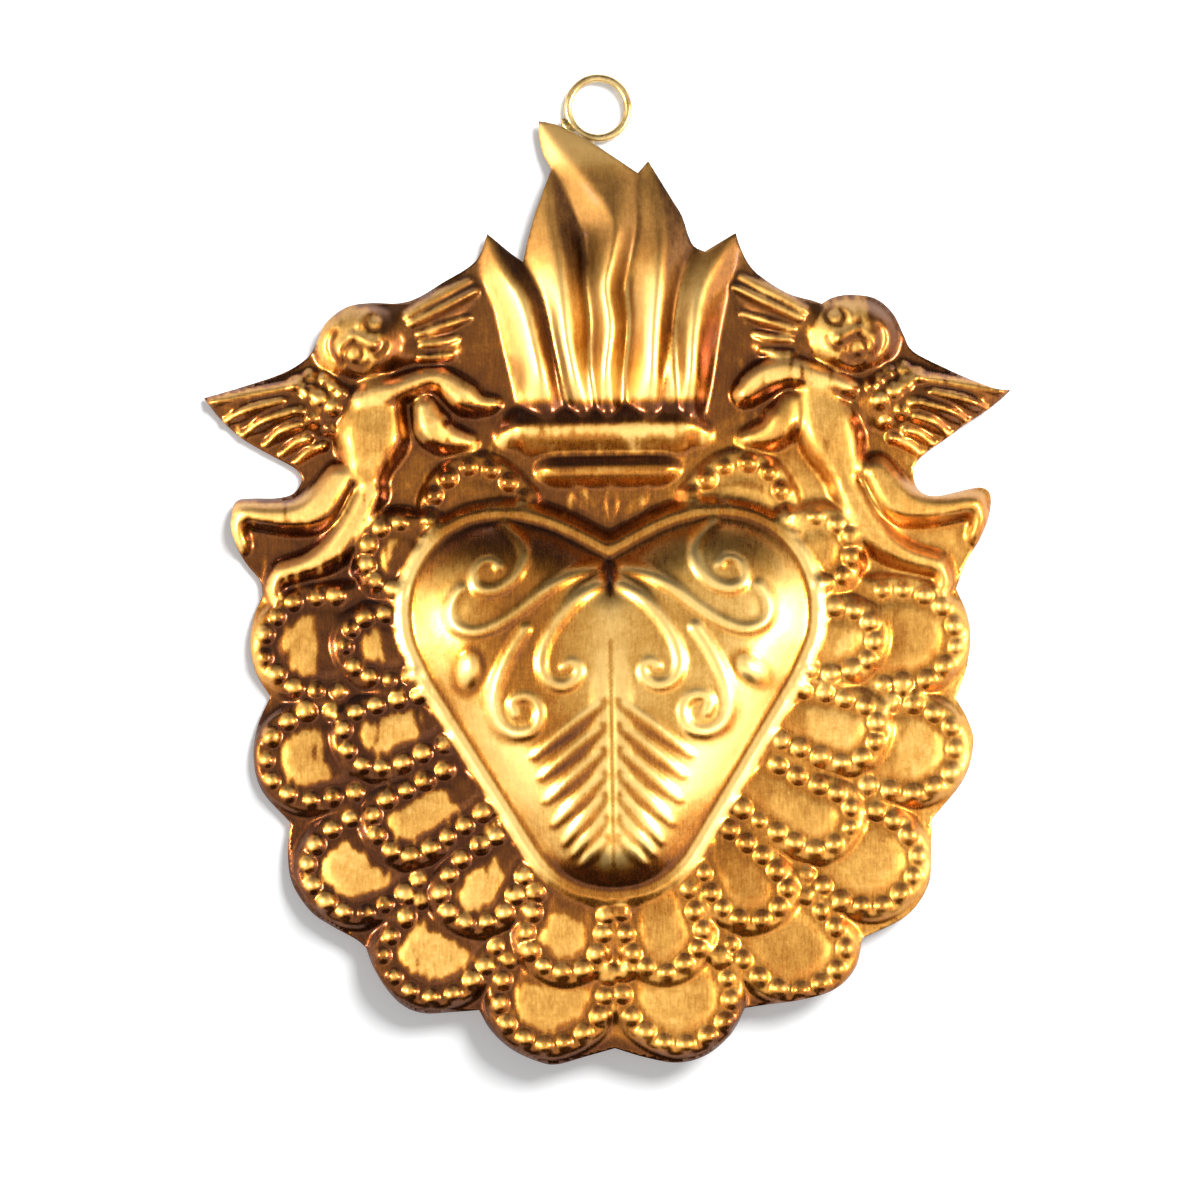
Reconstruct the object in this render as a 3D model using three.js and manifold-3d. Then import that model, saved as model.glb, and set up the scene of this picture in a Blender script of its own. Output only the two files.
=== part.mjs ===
// Sacred heart milagro: a wall ornament pressed from one brass sheet, with a wire hanging ring
// soldered to its tallest flame.
// Millimetres, +Z up. The front faces -Y and the flat back of the sheet faces +Y.
// The origin is the centre of the hanging ring, where the nail passes.
// The sheet is drawn lying down, with x to the right, y up the ornament from a line across the heart
// and z out of its face. One turned group stands it up.
import * as THREE from "three";
import { ConvexHull } from "three/addons/math/ConvexHull.js";
import { mergeVertices } from "three/addons/utils/BufferGeometryUtils.js";
import Module from "manifold-3d";

const wasm = await Module();
wasm.setup();

// Sheet, with the round field that joins the cut-out parts of its edge
const SHEET_GAUGE = 0.5;
const FIELD_RADIUS = 42.2;
const FIELD_CENTRE_Y = -14;

// Heart, domed inside a raised rim
const HEART_HALF_WIDTH = 24.8;
const HEART_WIDEST_Y = -1.5;
const HEART_CLEFT_Y = 5.1;
const HEART_LOBE_X = 13.6;
const HEART_LOBE_Y = 10.1;
const HEART_FLANK_TOP = [22.3, -9.5];
const HEART_FLANK_FOOT = [9, -31.4];
const HEART_TIP_Y = -36;
const HEART_MIDDLE_Y = -8;
const HEART_RISE = 8.4;
const HEART_DOME_POWERS = [2.6, 0.72];
const HEART_RIM_WIDTH = 2.2;
const HEART_RIM_RISE = 3.5;
const HEART_GROOVE_RISE = 2.5;

// Ornament struck on the heart's dome, on the right-hand side: scrolls, half of the leaf's midrib, a seed
const SCROLLS = [
  [[13, 9], [10.7, 6.4], [11.5, 3.1], [14.5, 1.5], [16.7, 3], [15, 5]],
  [[1.8, 4.1], [5, 3.1], [11.2, -1.2], [16.2, -3.8], [19.3, -2.6], [18.6, 1.5]],
  [[1.6, 2], [4.2, 0.2], [7.6, -4.4], [8.5, -8], [6.6, -10.5], [4.3, -9.2]],
  [[10.6, -3.5], [13.6, -9], [14.5, -13.1], [12.6, -16.3], [9.4, -15.8], [9.6, -12.6]],
];
const SCROLL_HALF_WIDTH = 1.1;
const SCROLL_RISE = 0.6;
const MIDRIB = { crest: [[1.6, -6], [1.6, -20], [1.5, -33]], halfWidths: [1.4, 1.4], rises: [0.6, 0.6] };
const HEART_SEED = { x: 17.4, y: -8.7, halfWidth: 1.5, halfHeight: 2.1, rise: 0.9 };

// Scallops round the heart, as places on the right-hand side: the centre of the round end, the direction
// in degrees in which the end points, and the radius of its bead line
const OUTER_SCALLOPS = [
  { x: 37.6, y: -5.1, points: 0, radius: 5.6 },
  { x: 37.6, y: -19.2, points: -10, radius: 5.4 },
  { x: 32.8, y: -33.5, points: -35, radius: 5.4 },
  { x: 22.6, y: -43.5, points: -58, radius: 5.7 },
  { x: 7.7, y: -49.9, points: -83, radius: 6.5 },
];
const INNER_SCALLOPS = [
  { x: 16.8, y: 11, points: 80, radius: 5.4 },
  { x: 26.8, y: 5.7, points: 10, radius: 4 },
  { x: 29, y: -5.5, points: -2, radius: 4.2 },
  { x: 29.2, y: -16.6, points: -8, radius: 4.1 },
  { x: 25.5, y: -27.4, points: -25, radius: 4.1 },
  { x: 16.5, y: -35.2, points: -53, radius: 4.8 },
  { x: 6.1, y: -41, points: -85, radius: 4.9 },
];
const OUTER_RISE = 2.2;
const INNER_RISE = 3.2;
const OUTER_LEG = 7;
const INNER_LEG = 12;
const SCALLOP_MARGIN = 1.6;
const BEAD_LINE_WIDTH = 1.2;
const PAD_DROP = 0.9;

// Fire bowl between the heart and the flames
const BOWL_LIP = { halfLength: 11.6, y: 21.5, halfWidth: 2.5, rise: 3.8 };
const BOWL_BAND = { halfLength: 7.6, y: 16.4, halfWidth: 1.9, rise: 2.9 };
const BOWL_STEM = { crest: [[0, 14.2], [0, 9.6]], halfWidths: [5.6, 2], rises: [1.5, 2] };

// Flames: crests from the bowl's lip to the tips, with the half widths and rises on the way
const FLAMES = [
  {
    crest: [[-7.4, 23.6], [-8.2, 28], [-9, 32], [-10.4, 37.3], [-12.7, 41], [-14.6, 45.5]],
    halfWidths: [3.6, 3.8, 3.9, 4, 3.2, 0.8],
    rises: [2.6, 4, 4.2, 3.6, 2.5, 0.6],
  },
  {
    crest: [[-3, 23.6], [-4, 27.5], [-5, 32], [-5.4, 36.5], [-5.5, 42.3], [-6.7, 47.5], [-7, 53]],
    halfWidths: [2.2, 2.8, 3.3, 4, 4.8, 3.6, 1],
    rises: [2.6, 4, 4.4, 4.2, 3.4, 2.2, 0.8],
  },
  {
    crest: [[0.3, 23.6], [0.8, 33], [0.9, 40], [1.2, 46.3], [-0.4, 50], [-3.8, 54], [-7.5, 59.3]],
    halfWidths: [2, 3.1, 3, 4.4, 4.2, 3, 0.7],
    rises: [2.6, 5, 4.8, 4, 3, 2, 0.6],
  },
  {
    crest: [[5.4, 23.6], [5.6, 28], [6, 34], [6.6, 40.3], [6.9, 46], [6.4, 50.5], [5.5, 54.2]],
    halfWidths: [3, 3.4, 3.9, 4.3, 4.6, 3.4, 0.8],
    rises: [2.6, 4.6, 4.8, 4.3, 3, 2, 0.6],
  },
  {
    crest: [[10, 23.6], [10.5, 28], [10.9, 33.5], [11.6, 37.7], [13, 41], [16.2, 45.2]],
    halfWidths: [2.5, 2.9, 3.4, 3.7, 3.2, 0.8],
    rises: [2.6, 4.5, 4.5, 3.6, 2.5, 0.6],
  },
];
const FLAME_CUT = [
  [-18, 38], [-17, 41.8], [-15.7, 43.3], [-14.7, 46], [-11.8, 43.5], [-10.2, 42.3], [-9.5, 45.3],
  [-8.6, 48.3], [-6.6, 53.8], [-7.6, 55.8], [-8.1, 58], [-8.1, 60], [-4.8, 59.2], [-1, 56.8],
  [4.2, 53.2], [5.5, 54.8], [8.3, 50], [9.6, 47.8], [10.5, 45.3], [11.2, 44], [12.5, 43.3],
  [16.4, 45.7], [16.9, 43.7], [17.9, 41.7], [20, 38], [12, 20], [-12, 20],
];

// Cherub on the right, mirrored to the left
const WING_TIP = [50.5, 25.7];
const HEAD = { x: 30.5, y: 32.4, halfWidth: 6, halfHeight: 5, rise: 3.7 };
const BODY_RIDGES = [
  { crest: [[28.5, 25.4], [29.4, 20.8], [30.2, 16.4]], halfWidths: [3.4, 4.8, 3], rises: [2.9, 3.4, 3] },
  {
    crest: [[30.4, 25.2], [26.7, 26.2], [21.5, 27.9], [17.6, 25.2], [13.9, 24.6]],
    halfWidths: [1.6, 1.7, 1.4, 1.6, 0.8],
    rises: [3.2, 3.5, 3, 2.8, 1.7],
  },
  { crest: [[22.8, 24.3], [21.8, 21.8], [17.4, 19.7]], halfWidths: [1.6, 1.9, 1.1], rises: [2.8, 3.2, 2] },
  {
    crest: [[33.5, 15.4], [36, 12], [39.5, 10.8], [45.4, 11.5]],
    halfWidths: [2.3, 2.6, 2, 1.5],
    rises: [3.1, 3.4, 3.2, 2.8],
  },
  { crest: [[46, 11.6], [46.2, 9.4], [45.5, 7]], halfWidths: [1.3, 1.1, 0.9], rises: [2.5, 2.2, 1.6] },
  {
    crest: [[29.6, 14], [31.3, 10.4], [35, 6.1], [40.8, 3.9]],
    halfWidths: [2.2, 2.2, 1.9, 1.5],
    rises: [3, 3.2, 3.1, 2.6],
  },
  { crest: [[41.2, 3.6], [41.5, 0.4]], halfWidths: [1.3, 0.9], rises: [2.4, 1.6] },
];
const WING_RIDGES = [
  { crest: [[34.6, 25.6], [41, 25.5], WING_TIP], halfWidths: [3.6, 2.4, 0.6], rises: [2, 1.5, 0.6] },
  { crest: [[34.4, 21.6], [38.6, 21], [44.2, 21.5]], halfWidths: [3.2, 2.4, 0.8], rises: [2, 1.5, 0.6] },
  { crest: [[25.6, 34.6], [21, 36.2], [16.9, 39.2]], halfWidths: [2.6, 2.2, 0.8], rises: [1.8, 1.4, 0.6] },
  { crest: [[24.4, 31.4], [21.6, 32.2], [18.4, 33.4]], halfWidths: [1.9, 1.6, 0.8], rises: [1.6, 1.3, 0.6] },
];
const CHERUB_CUT = [
  [14, 42], [19.8, 40], [23, 37.9], [26.4, 36.8], [28, 37.4], [30.4, 37.7], [33.4, 37.2], [35.6, 35.3],
  [36.8, 32.4], [38, 30.5], [41.6, 28.5], [45.8, 27], WING_TIP, [48.6, 23.8], [45.2, 21.1],
  [42.4, 19.2], [39.5, 17.5], [38.1, 15.3], [39, 13.4], [41.2, 12.9], [44.5, 13.1], [46.7, 13.3],
  [47.5, 12], [47.3, 9.7], [46.3, 6.9], [45, 4.7], [43.5, 2.8], [43.2, 0], [36, -4], [12, 12],
];

// Hanging ring of round wire, and the solder that holds its lower left side to the tallest flame
const RING_CENTRE = [-0.6, 61.45];
const RING_MEAN_RADIUS = 3.75;
const WIRE_DIAMETER = 1;
const SOLDER_WIDTH = 0.7;
const SOLDER_HEIGHT = 1.2;
const SOLDER_FROM = 207;
const SOLDER_TO = 256;
const SEAT_GAP = 0.25;

// Faceting: spacing of the points on a pressed form and on a scroll, their places across a ridge as shares
// of its half width, least distance between two points, spacing on the flat, and steps round curves
const POINT_PITCH = 2.6;
const SCROLL_PITCH = 1.8;
const RIDGE_SHARES = [0, 1, -1, 0.55, -0.55];
const SCROLL_SHARES = [0, 1, -1];
const POINT_CLEARANCE = 0.85;
const FLAT_PITCH = 5;
const CREST_STEPS = 5;
const CURVE_STEPS = 10;
const DISC_STEPS = 24;
const RING_STEPS = 40;
const WIRE_STEPS = 10;
const ROUNDING = 1e-6;

const material = (name, color, roughness) =>
  new THREE.MeshStandardMaterial({ name, color, roughness, metalness: 1 });
const ANTIQUED_BRASS = material("antiqued_brass", 0xb07a2c, 0.35);
const BRASS_WIRE = material("brass_wire", 0xb8954a, 0.4);
const HARD_SOLDER = material("hard_solder", 0xd9c6a2, 0.35);

const { clamp, degToRad, lerp } = THREE.MathUtils;
const point = ([x, y]) => new THREE.Vector2(x, y);
const heading = (degrees) => new THREE.Vector2(Math.cos(degToRad(degrees)), Math.sin(degToRad(degrees)));

// A closed geometry as a solid that can be joined and cut
function solid(geometry) {
  const bare = geometry.clone();
  bare.deleteAttribute("normal");
  bare.deleteAttribute("uv");
  const { attributes, index } = mergeVertices(bare, 1e-4);
  const vertProperties = attributes.position.array;
  const triVerts = new Uint32Array(index.array);
  return new wasm.Manifold(new wasm.Mesh({ numProp: 3, vertProperties, triVerts }));
}

// A solid as a geometry again
function geometryOf(body) {
  const { vertProperties, triVerts } = body.getMesh();
  const geometry = new THREE.BufferGeometry();
  geometry.setAttribute("position", new THREE.BufferAttribute(vertProperties, 3));
  geometry.setIndex(new THREE.BufferAttribute(triVerts, 1));
  const faceted = geometry.toNonIndexed();
  faceted.computeVertexNormals();
  return faceted;
}

// A value read off a list at a share of its length
function along(list, share) {
  const place = clamp(share, 0, 1) * (list.length - 1);
  const index = Math.min(Math.floor(place), list.length - 2);
  return lerp(list[index], list[index + 1], place - index);
}

// Distance from a place to a line of points, and the share of the line at its nearest point
function nearest(line, x, y) {
  let found = { distance: Infinity, share: 0 };
  for (let i = 0; i + 1 < line.length; i++) {
    const from = line[i];
    const run = line[i + 1].clone().sub(from);
    const t = clamp(((x - from.x) * run.x + (y - from.y) * run.y) / run.lengthSq(), 0, 1);
    const distance = Math.hypot(x - from.x - t * run.x, y - from.y - t * run.y);
    if (distance < found.distance) found = { distance, share: (i + t) / (line.length - 1) };
  }
  return found;
}

// Pressed forms. Each has a height above the flat sheet as a function of x and y, and marks: points on
// its crest, slopes and edge that the sheet's facets take up.

// A rounded ridge along a smooth crest
function ridge({ crest, halfWidths, rises }, pitch = POINT_PITCH, shares = RIDGE_SHARES) {
  const curve = new THREE.SplineCurve(crest.map(point));
  const line = curve.getPoints(CREST_STEPS * (crest.length - 1));
  const height = (x, y) => {
    const { distance, share } = nearest(line, x, y);
    const t = distance / along(halfWidths, share);
    return t < 1 ? along(rises, share) * (1 - t * t) : 0;
  };
  const marks = [];
  const steps = Math.max(2, Math.round(curve.getLength() / pitch));
  for (let i = 0; i <= steps; i++) {
    const share = i / steps;
    const tangent = curve.getTangent(share);
    const across = new THREE.Vector2(-tangent.y, tangent.x).multiplyScalar(along(halfWidths, share));
    for (const side of shares) marks.push(curve.getPoint(share).addScaledVector(across, side));
  }
  return { height, marks };
}

// A straight bar with round ends, centred on the axis
function bar({ halfLength, y, halfWidth, rise }) {
  const crest = [[-halfLength, y], [halfLength, y]];
  return ridge({ crest, halfWidths: [halfWidth, halfWidth], rises: [rise, rise] });
}

// A scroll: a low ridge of even width
function scroll(crest) {
  const halfWidths = [SCROLL_HALF_WIDTH, SCROLL_HALF_WIDTH];
  return ridge({ crest, halfWidths, rises: [SCROLL_RISE, SCROLL_RISE] }, SCROLL_PITCH, SCROLL_SHARES);
}

// A rounded oval boss
function boss({ x: centreX, y: centreY, halfWidth, halfHeight, rise }) {
  const height = (x, y) => {
    const t = Math.hypot((x - centreX) / halfWidth, (y - centreY) / halfHeight);
    return t < 1 ? rise * Math.sqrt(1 - t ** 2.5) : 0;
  };
  const marks = [new THREE.Vector2(centreX, centreY)];
  for (const share of [0.4, 0.7, 0.9, 1]) {
    const steps = Math.round((2 * Math.PI * halfWidth * share) / POINT_PITCH);
    for (let i = 0; i < steps; i++) {
      const way = heading((360 * i) / steps);
      way.set(way.x * halfWidth * share, way.y * halfHeight * share);
      marks.push(way.add(marks[0]));
    }
  }
  return { height, marks };
}

// A scallop: a rounded edge that climbs to the bead line, and a sunk pad inside it. The end is round and
// two straight legs run back from it and fade out.
function scallop({ x: centreX, y: centreY, points, radius }, rise, leg) {
  const way = heading(points);
  const height = (x, y) => {
    const u = (x - centreX) * way.x + (y - centreY) * way.y;
    const v = (y - centreY) * way.x - (x - centreX) * way.y;
    const inward = radius + SCALLOP_MARGIN - Math.hypot(Math.max(u, 0), v);
    if (inward <= 0 || u < -leg) return 0;
    const climb = Math.min(inward / SCALLOP_MARGIN, 1);
    const sink = clamp((inward - SCALLOP_MARGIN) / BEAD_LINE_WIDTH, 0, 1);
    const fade = clamp((u + leg) / SCALLOP_MARGIN, 0, 1);
    return fade * (rise * Math.sqrt(1 - (1 - climb) ** 2) - PAD_DROP * sink);
  };
  const place = (u, v) => new THREE.Vector2(centreX + u * way.x - v * way.y, centreY + u * way.y + v * way.x);
  const marks = [place(0, 0), place(-leg / 2, 0)];
  for (const size of [radius, radius + SCALLOP_MARGIN, radius - BEAD_LINE_WIDTH]) {
    const steps = Math.round((Math.PI * radius) / POINT_PITCH);
    for (let i = 0; i <= steps; i++) {
      const turn = heading(-90 + (180 * i) / steps);
      marks.push(place(turn.x * size, turn.y * size));
    }
    for (let back = POINT_PITCH; back < leg; back += POINT_PITCH)
      marks.push(place(-back, size), place(-back, -size));
  }
  return { height, marks };
}

// The edge of the heart's dome on the right-hand side, from the cleft to the tip
function heartEdge() {
  const [flankX, flankY] = HEART_FLANK_TOP;
  const [footX, footY] = HEART_FLANK_FOOT;
  const lobe = HEART_LOBE_Y - HEART_CLEFT_Y;
  const edge = new THREE.Path();
  edge.moveTo(0, HEART_CLEFT_Y);
  edge.bezierCurveTo(
    0.3 * HEART_LOBE_X, HEART_CLEFT_Y + 0.42 * lobe,
    0.58 * HEART_LOBE_X, HEART_LOBE_Y,
    HEART_LOBE_X, HEART_LOBE_Y,
  );
  edge.bezierCurveTo(
    lerp(HEART_LOBE_X, HEART_HALF_WIDTH, 0.6), HEART_LOBE_Y,
    HEART_HALF_WIDTH, lerp(HEART_WIDEST_Y, HEART_LOBE_Y, 0.55),
    HEART_HALF_WIDTH, HEART_WIDEST_Y,
  );
  edge.bezierCurveTo(
    HEART_HALF_WIDTH, lerp(HEART_WIDEST_Y, flankY, 0.45),
    lerp(HEART_HALF_WIDTH, flankX, 0.45), lerp(HEART_WIDEST_Y, flankY, 0.6),
    flankX, flankY,
  );
  edge.lineTo(footX, footY);
  edge.bezierCurveTo(
    0.74 * footX, lerp(footY, HEART_TIP_Y, 0.7),
    0.42 * footX, HEART_TIP_Y,
    0, HEART_TIP_Y,
  );
  const steps = Math.round(edge.getLength() / POINT_PITCH);
  return edge.getSpacedPoints(steps);
}

// How far out a place lies between a middle point and the outline round it: 0 to 1 inside, more outside
function shareOut(outline, middle, x, y) {
  const ray = new THREE.Vector2(x, y).sub(middle);
  for (let i = 0; i < outline.length; i++) {
    const from = outline[i].clone().sub(middle);
    const run = outline[(i + 1) % outline.length].clone().sub(outline[i]);
    const cross = ray.cross(run);
    const reach = from.cross(run) / cross;
    const t = from.cross(ray) / cross;
    if (reach > 0 && t >= -ROUNDING && t <= 1 + ROUNDING) return 1 / reach;
  }
  return 0;
}

// The domed heart, a groove at its edge and the raised rim outside the groove
function heart() {
  const right = heartEdge();
  const left = right.slice(1, -1).reverse().map(({ x, y }) => new THREE.Vector2(-x, y));
  const outline = [...right, ...left];
  const loop = [...outline, outline[0]];
  const middle = new THREE.Vector2(0, HEART_MIDDLE_Y);
  const [inPower, outPower] = HEART_DOME_POWERS;
  const height = (x, y) => {
    const out = shareOut(outline, middle, x, y);
    if (out < 1) return lerp(HEART_GROOVE_RISE, HEART_RISE, (1 - out ** inPower) ** outPower);
    const t = nearest(loop, x, y).distance / (HEART_RIM_WIDTH / 2) - 1;
    return t < 1 ? lerp(t < 0 ? HEART_GROOVE_RISE : 0, HEART_RIM_RISE, 1 - t * t) : 0;
  };
  const marks = [middle];
  outline.forEach((place, i) => {
    const before = outline.at(i - 1);
    const after = outline[(i + 1) % outline.length];
    const outward = new THREE.Vector2(before.y - after.y, after.x - before.x).normalize();
    for (const width of [0, 0.5, 1])
      marks.push(place.clone().addScaledVector(outward, width * HEART_RIM_WIDTH));
    for (const share of [0.96, 0.87, 0.72, 0.5, 0.25])
      marks.push(middle.clone().lerp(place, share));
  });
  return { height, marks };
}

// A form on the other side of the axis
function opposite({ height, marks }) {
  return {
    height: (x, y) => height(-x, y),
    marks: marks.map(({ x, y }) => new THREE.Vector2(-x, y)),
  };
}

const rightSide = [
  boss(HEAD),
  ...BODY_RIDGES.map((form) => ridge(form)),
  ...WING_RIDGES.map((form) => ridge(form)),
  ...INNER_SCALLOPS.map((place) => scallop(place, INNER_RISE, INNER_LEG)),
  ...OUTER_SCALLOPS.map((place) => scallop(place, OUTER_RISE, OUTER_LEG)),
];
const forms = [
  heart(),
  ...FLAMES.map((form) => ridge(form)),
  bar(BOWL_LIP),
  bar(BOWL_BAND),
  ridge(BOWL_STEM),
  ...rightSide,
  ...rightSide.map(opposite),
];
const rightOrnament = [...SCROLLS.map(scroll), ridge(MIDRIB, POINT_PITCH, SCROLL_SHARES), boss(HEART_SEED)];
const heartOrnament = [...rightOrnament, ...rightOrnament.map(opposite)];

// The pressed height: the highest form at a place, with the heart's ornament on top
const highest = (raised, x, y) => Math.max(0, ...raised.map(({ height }) => height(x, y)));
const relief = (x, y) => highest(forms, x, y) + highest(heartOrnament, x, y);

// The points of the pressed sheet inside a rectangle: its corners, the marks of the heart's ornament and of
// every form that another form does not bury, and a loose grid on the flat
function sheetPoints({ min, max }) {
  const kept = [
    new THREE.Vector2(min.x, min.y),
    new THREE.Vector2(max.x, min.y),
    new THREE.Vector2(max.x, max.y),
    new THREE.Vector2(min.x, max.y),
  ];
  const room = new THREE.Box2(min, max).expandByScalar(-POINT_CLEARANCE);
  const keep = (place, clearance) => {
    const free = kept.every((other) => other.distanceTo(place) > clearance);
    if (free && room.containsPoint(place)) kept.push(place);
  };
  for (const { marks } of heartOrnament)
    for (const place of marks) keep(place, POINT_CLEARANCE);
  for (const { height, marks } of forms)
    for (const place of marks)
      if (relief(place.x, place.y) - height(place.x, place.y) < INNER_RISE) keep(place, POINT_CLEARANCE);
  for (let x = min.x; x < max.x; x += FLAT_PITCH)
    for (let y = min.y; y < max.y; y += FLAT_PITCH) keep(new THREE.Vector2(x, y), FLAT_PITCH / 2);
  return kept;
}

// Triangles over points in the plane: the underside of the hull of the points lifted to a paraboloid
function triangles(places) {
  const lifted = places.map(({ x, y }) => new THREE.Vector3(x, y, x * x + y * y));
  const order = new Map(lifted.map((place, i) => [place, i]));
  const hull = new ConvexHull().setFromPoints(lifted);
  const under = hull.faces.filter(({ normal }) => normal.z < 0);
  return under.map((face) => [2, 1, 0].map((k) => order.get(face.getEdge(k).head().point)));
}

// The pressed sheet before it is cut out: front and back follow the relief, one gauge apart
function pressedBlank(bounds) {
  const places = sheetPoints(bounds);
  const front = places.flatMap(({ x, y }) => [x, y, relief(x, y) + SHEET_GAUGE]);
  const back = places.flatMap(({ x, y }) => [x, y, relief(x, y)]);
  const faces = [];
  for (const [a, b, c] of triangles(places)) {
    faces.push(a, b, c);
    faces.push(places.length + a, places.length + c, places.length + b);
  }
  for (let from = 0; from < 4; from++) {
    const to = (from + 1) % 4;
    faces.push(places.length + from, places.length + to, to);
    faces.push(places.length + from, to, from);
  }
  const geometry = new THREE.BufferGeometry();
  geometry.setAttribute("position", new THREE.Float32BufferAttribute([...front, ...back], 3));
  geometry.setIndex(faces);
  return geometry;
}

// Cutting out, by upright prisms that pass through the whole sheet
const CUT_DEPTH = 3 * HEART_RISE;
function prism(shape, curveSegments) {
  const settings = { depth: CUT_DEPTH, bevelEnabled: false, curveSegments };
  return solid(new THREE.ExtrudeGeometry(shape, settings).translate(0, 0, -CUT_DEPTH / 2));
}
const disc = (x, y, radius, steps) => prism(new THREE.Shape().absarc(x, y, radius, 0, 2 * Math.PI), steps);
const plate = (outline) => prism(new THREE.Shape(outline.map(point)), 1);

// The outline of the finished sheet: the round field, the outer scallops, the cherubs and the flames
function outlineCutter() {
  const pieces = [
    disc(0, FIELD_CENTRE_Y, FIELD_RADIUS, 4 * DISC_STEPS),
    plate(CHERUB_CUT),
    plate(CHERUB_CUT.map(([x, y]) => [-x, y])),
    plate(FLAME_CUT),
  ];
  for (const { x, y, radius } of OUTER_SCALLOPS)
    for (const side of [x, -x]) pieces.push(disc(side, y, radius + SCALLOP_MARGIN, DISC_STEPS));
  return pieces.reduce((whole, piece) => whole.add(piece));
}

const [ringX, ringY] = RING_CENTRE;
const solderInnerRadius = RING_MEAN_RADIUS + WIRE_DIAMETER / 2 + SEAT_GAP;
const solderOuterRadius = solderInnerRadius + SOLDER_WIDTH;
const seatRadius = solderOuterRadius + SEAT_GAP;

// The sheet, cut to its outline and to the seat of the solder
function pressedSheet() {
  const cutter = outlineCutter().subtract(disc(ringX, ringY, seatRadius, RING_STEPS));
  const box = cutter.boundingBox();
  const min = point(box.min).subScalar(FLAT_PITCH);
  const max = point(box.max).addScalar(FLAT_PITCH);
  return new THREE.Mesh(geometryOf(solid(pressedBlank({ min, max })).intersect(cutter)), ANTIQUED_BRASS);
}

// The ring lies in the sheet's plane, with its back level with the sheet's back
function hangingRing() {
  const wire = WIRE_DIAMETER / 2;
  const torus = new THREE.TorusGeometry(RING_MEAN_RADIUS, wire, WIRE_STEPS, RING_STEPS);
  const mesh = new THREE.Mesh(torus, BRASS_WIRE);
  mesh.position.set(ringX, ringY, wire);
  return mesh;
}

// A crescent of solder between the ring and its seat in the flame's edge
function ringSolder() {
  const from = degToRad(SOLDER_FROM);
  const to = degToRad(SOLDER_TO);
  const shape = new THREE.Shape();
  shape.absarc(0, 0, solderOuterRadius, from, to, false);
  shape.absarc(0, 0, solderInnerRadius, to, from, true);
  const settings = { depth: SOLDER_HEIGHT, bevelEnabled: false, curveSegments: CURVE_STEPS };
  const mesh = new THREE.Mesh(new THREE.ExtrudeGeometry(shape, settings), HARD_SOLDER);
  mesh.position.set(ringX, ringY, 0);
  return mesh;
}

const pieces = { pressed_sheet: pressedSheet(), hanging_ring: hangingRing(), ring_solder: ringSolder() };
const ornament = new THREE.Group();
for (const [name, mesh] of Object.entries(pieces)) {
  mesh.name = name;
  ornament.add(mesh);
}
ornament.rotation.x = Math.PI / 2;
ornament.position.set(-ringX, 0, -ringY);

const milagro = new THREE.Group();
milagro.add(ornament);

export default milagro;
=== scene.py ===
import math

import bpy
import numpy as np
from mathutils import Matrix, Vector, noise
from mathutils.geometry import delaunay_2d_cdt


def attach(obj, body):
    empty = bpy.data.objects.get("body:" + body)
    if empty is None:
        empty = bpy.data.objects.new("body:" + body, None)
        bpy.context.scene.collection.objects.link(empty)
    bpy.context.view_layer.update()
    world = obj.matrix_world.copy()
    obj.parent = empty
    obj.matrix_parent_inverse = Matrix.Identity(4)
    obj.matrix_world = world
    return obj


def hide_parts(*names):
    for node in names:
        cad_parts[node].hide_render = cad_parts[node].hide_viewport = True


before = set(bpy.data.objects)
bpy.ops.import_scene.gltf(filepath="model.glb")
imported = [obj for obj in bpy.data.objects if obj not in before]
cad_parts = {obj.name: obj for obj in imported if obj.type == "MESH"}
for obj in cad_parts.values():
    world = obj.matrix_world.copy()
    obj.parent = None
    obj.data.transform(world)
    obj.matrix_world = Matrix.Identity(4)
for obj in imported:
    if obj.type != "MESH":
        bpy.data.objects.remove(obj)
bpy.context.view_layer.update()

MM = 0.001

# The ornament is drawn in millimetres on its own plate: x to the right, z up, relief towards the viewer.
PLATE_X = 0.25
PLATE_Z = -61.45
AXIS = 0.35
GAUGE = 0.5

# Raster that the relief is pressed on
PIXEL = 0.15
LEFT, RIGHT = -52.5, 52.5
FOOT, HEAD_ROOM = -60.0, 61.5
PATH_STEP = 0.45
# Each form is worked out a little past its edge, and no taper gets thinner than this.
MARGIN, BUMP_MARGIN, THINNEST = 0.5, 0.3, 0.05
# Rubbing fades out between these shares of a form's half-width.
RIDGE_FADE, BUMP_FADE = (1.1, 0.8), (1.05, 0.8)
# Each round form's bright cap is shifted up and left of its middle: a painted lit side, as if lit from the
# upper left.
LIT_SIDE_SHIFT = 0.2

# Triangles of the sheet
FRONT_PITCH = 0.36
BACK_PITCH = 0.66
EDGE_PITCH = 0.4
EDGE_CLEAR = 0.22

SEED = 11

grid_x = np.arange(LEFT, RIGHT, PIXEL)
grid_z = np.arange(FOOT, HEAD_ROOM, PIXEL)
X, Z = np.meshgrid(grid_x, grid_z)
relief = np.zeros_like(X)
random = np.random.default_rng(SEED)


# Shaping functions

def ease(low, high, value):
    """Smooth step from 0 at low to 1 at high."""
    t = np.clip((value - low) / (high - low), 0, 1)
    return t * t * (3 - 2 * t)


def lerp(a, b, t):
    return a + (b - a) * t


def zones(table, measures):
    """Sum of soft zones; each is an amount and the smooth steps of named measures that bound it."""
    return sum(amount * math.prod(ease(low, high, measures[name]) for name, low, high in steps)
               for amount, steps in table)


def blur(field, sigma, tall=1.0):
    """Gaussian blur of a raster, sigma in millimetres, drawn out upright by the given factor."""
    fz = np.fft.fftfreq(field.shape[0], PIXEL)[:, None] * tall
    fx = np.fft.rfftfreq(field.shape[1], PIXEL)[None, :]
    damp = np.exp(-2 * (math.pi * sigma) ** 2 * (fz ** 2 + fx ** 2))
    return np.fft.irfft2(np.fft.rfft2(field) * damp, field.shape)


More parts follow.
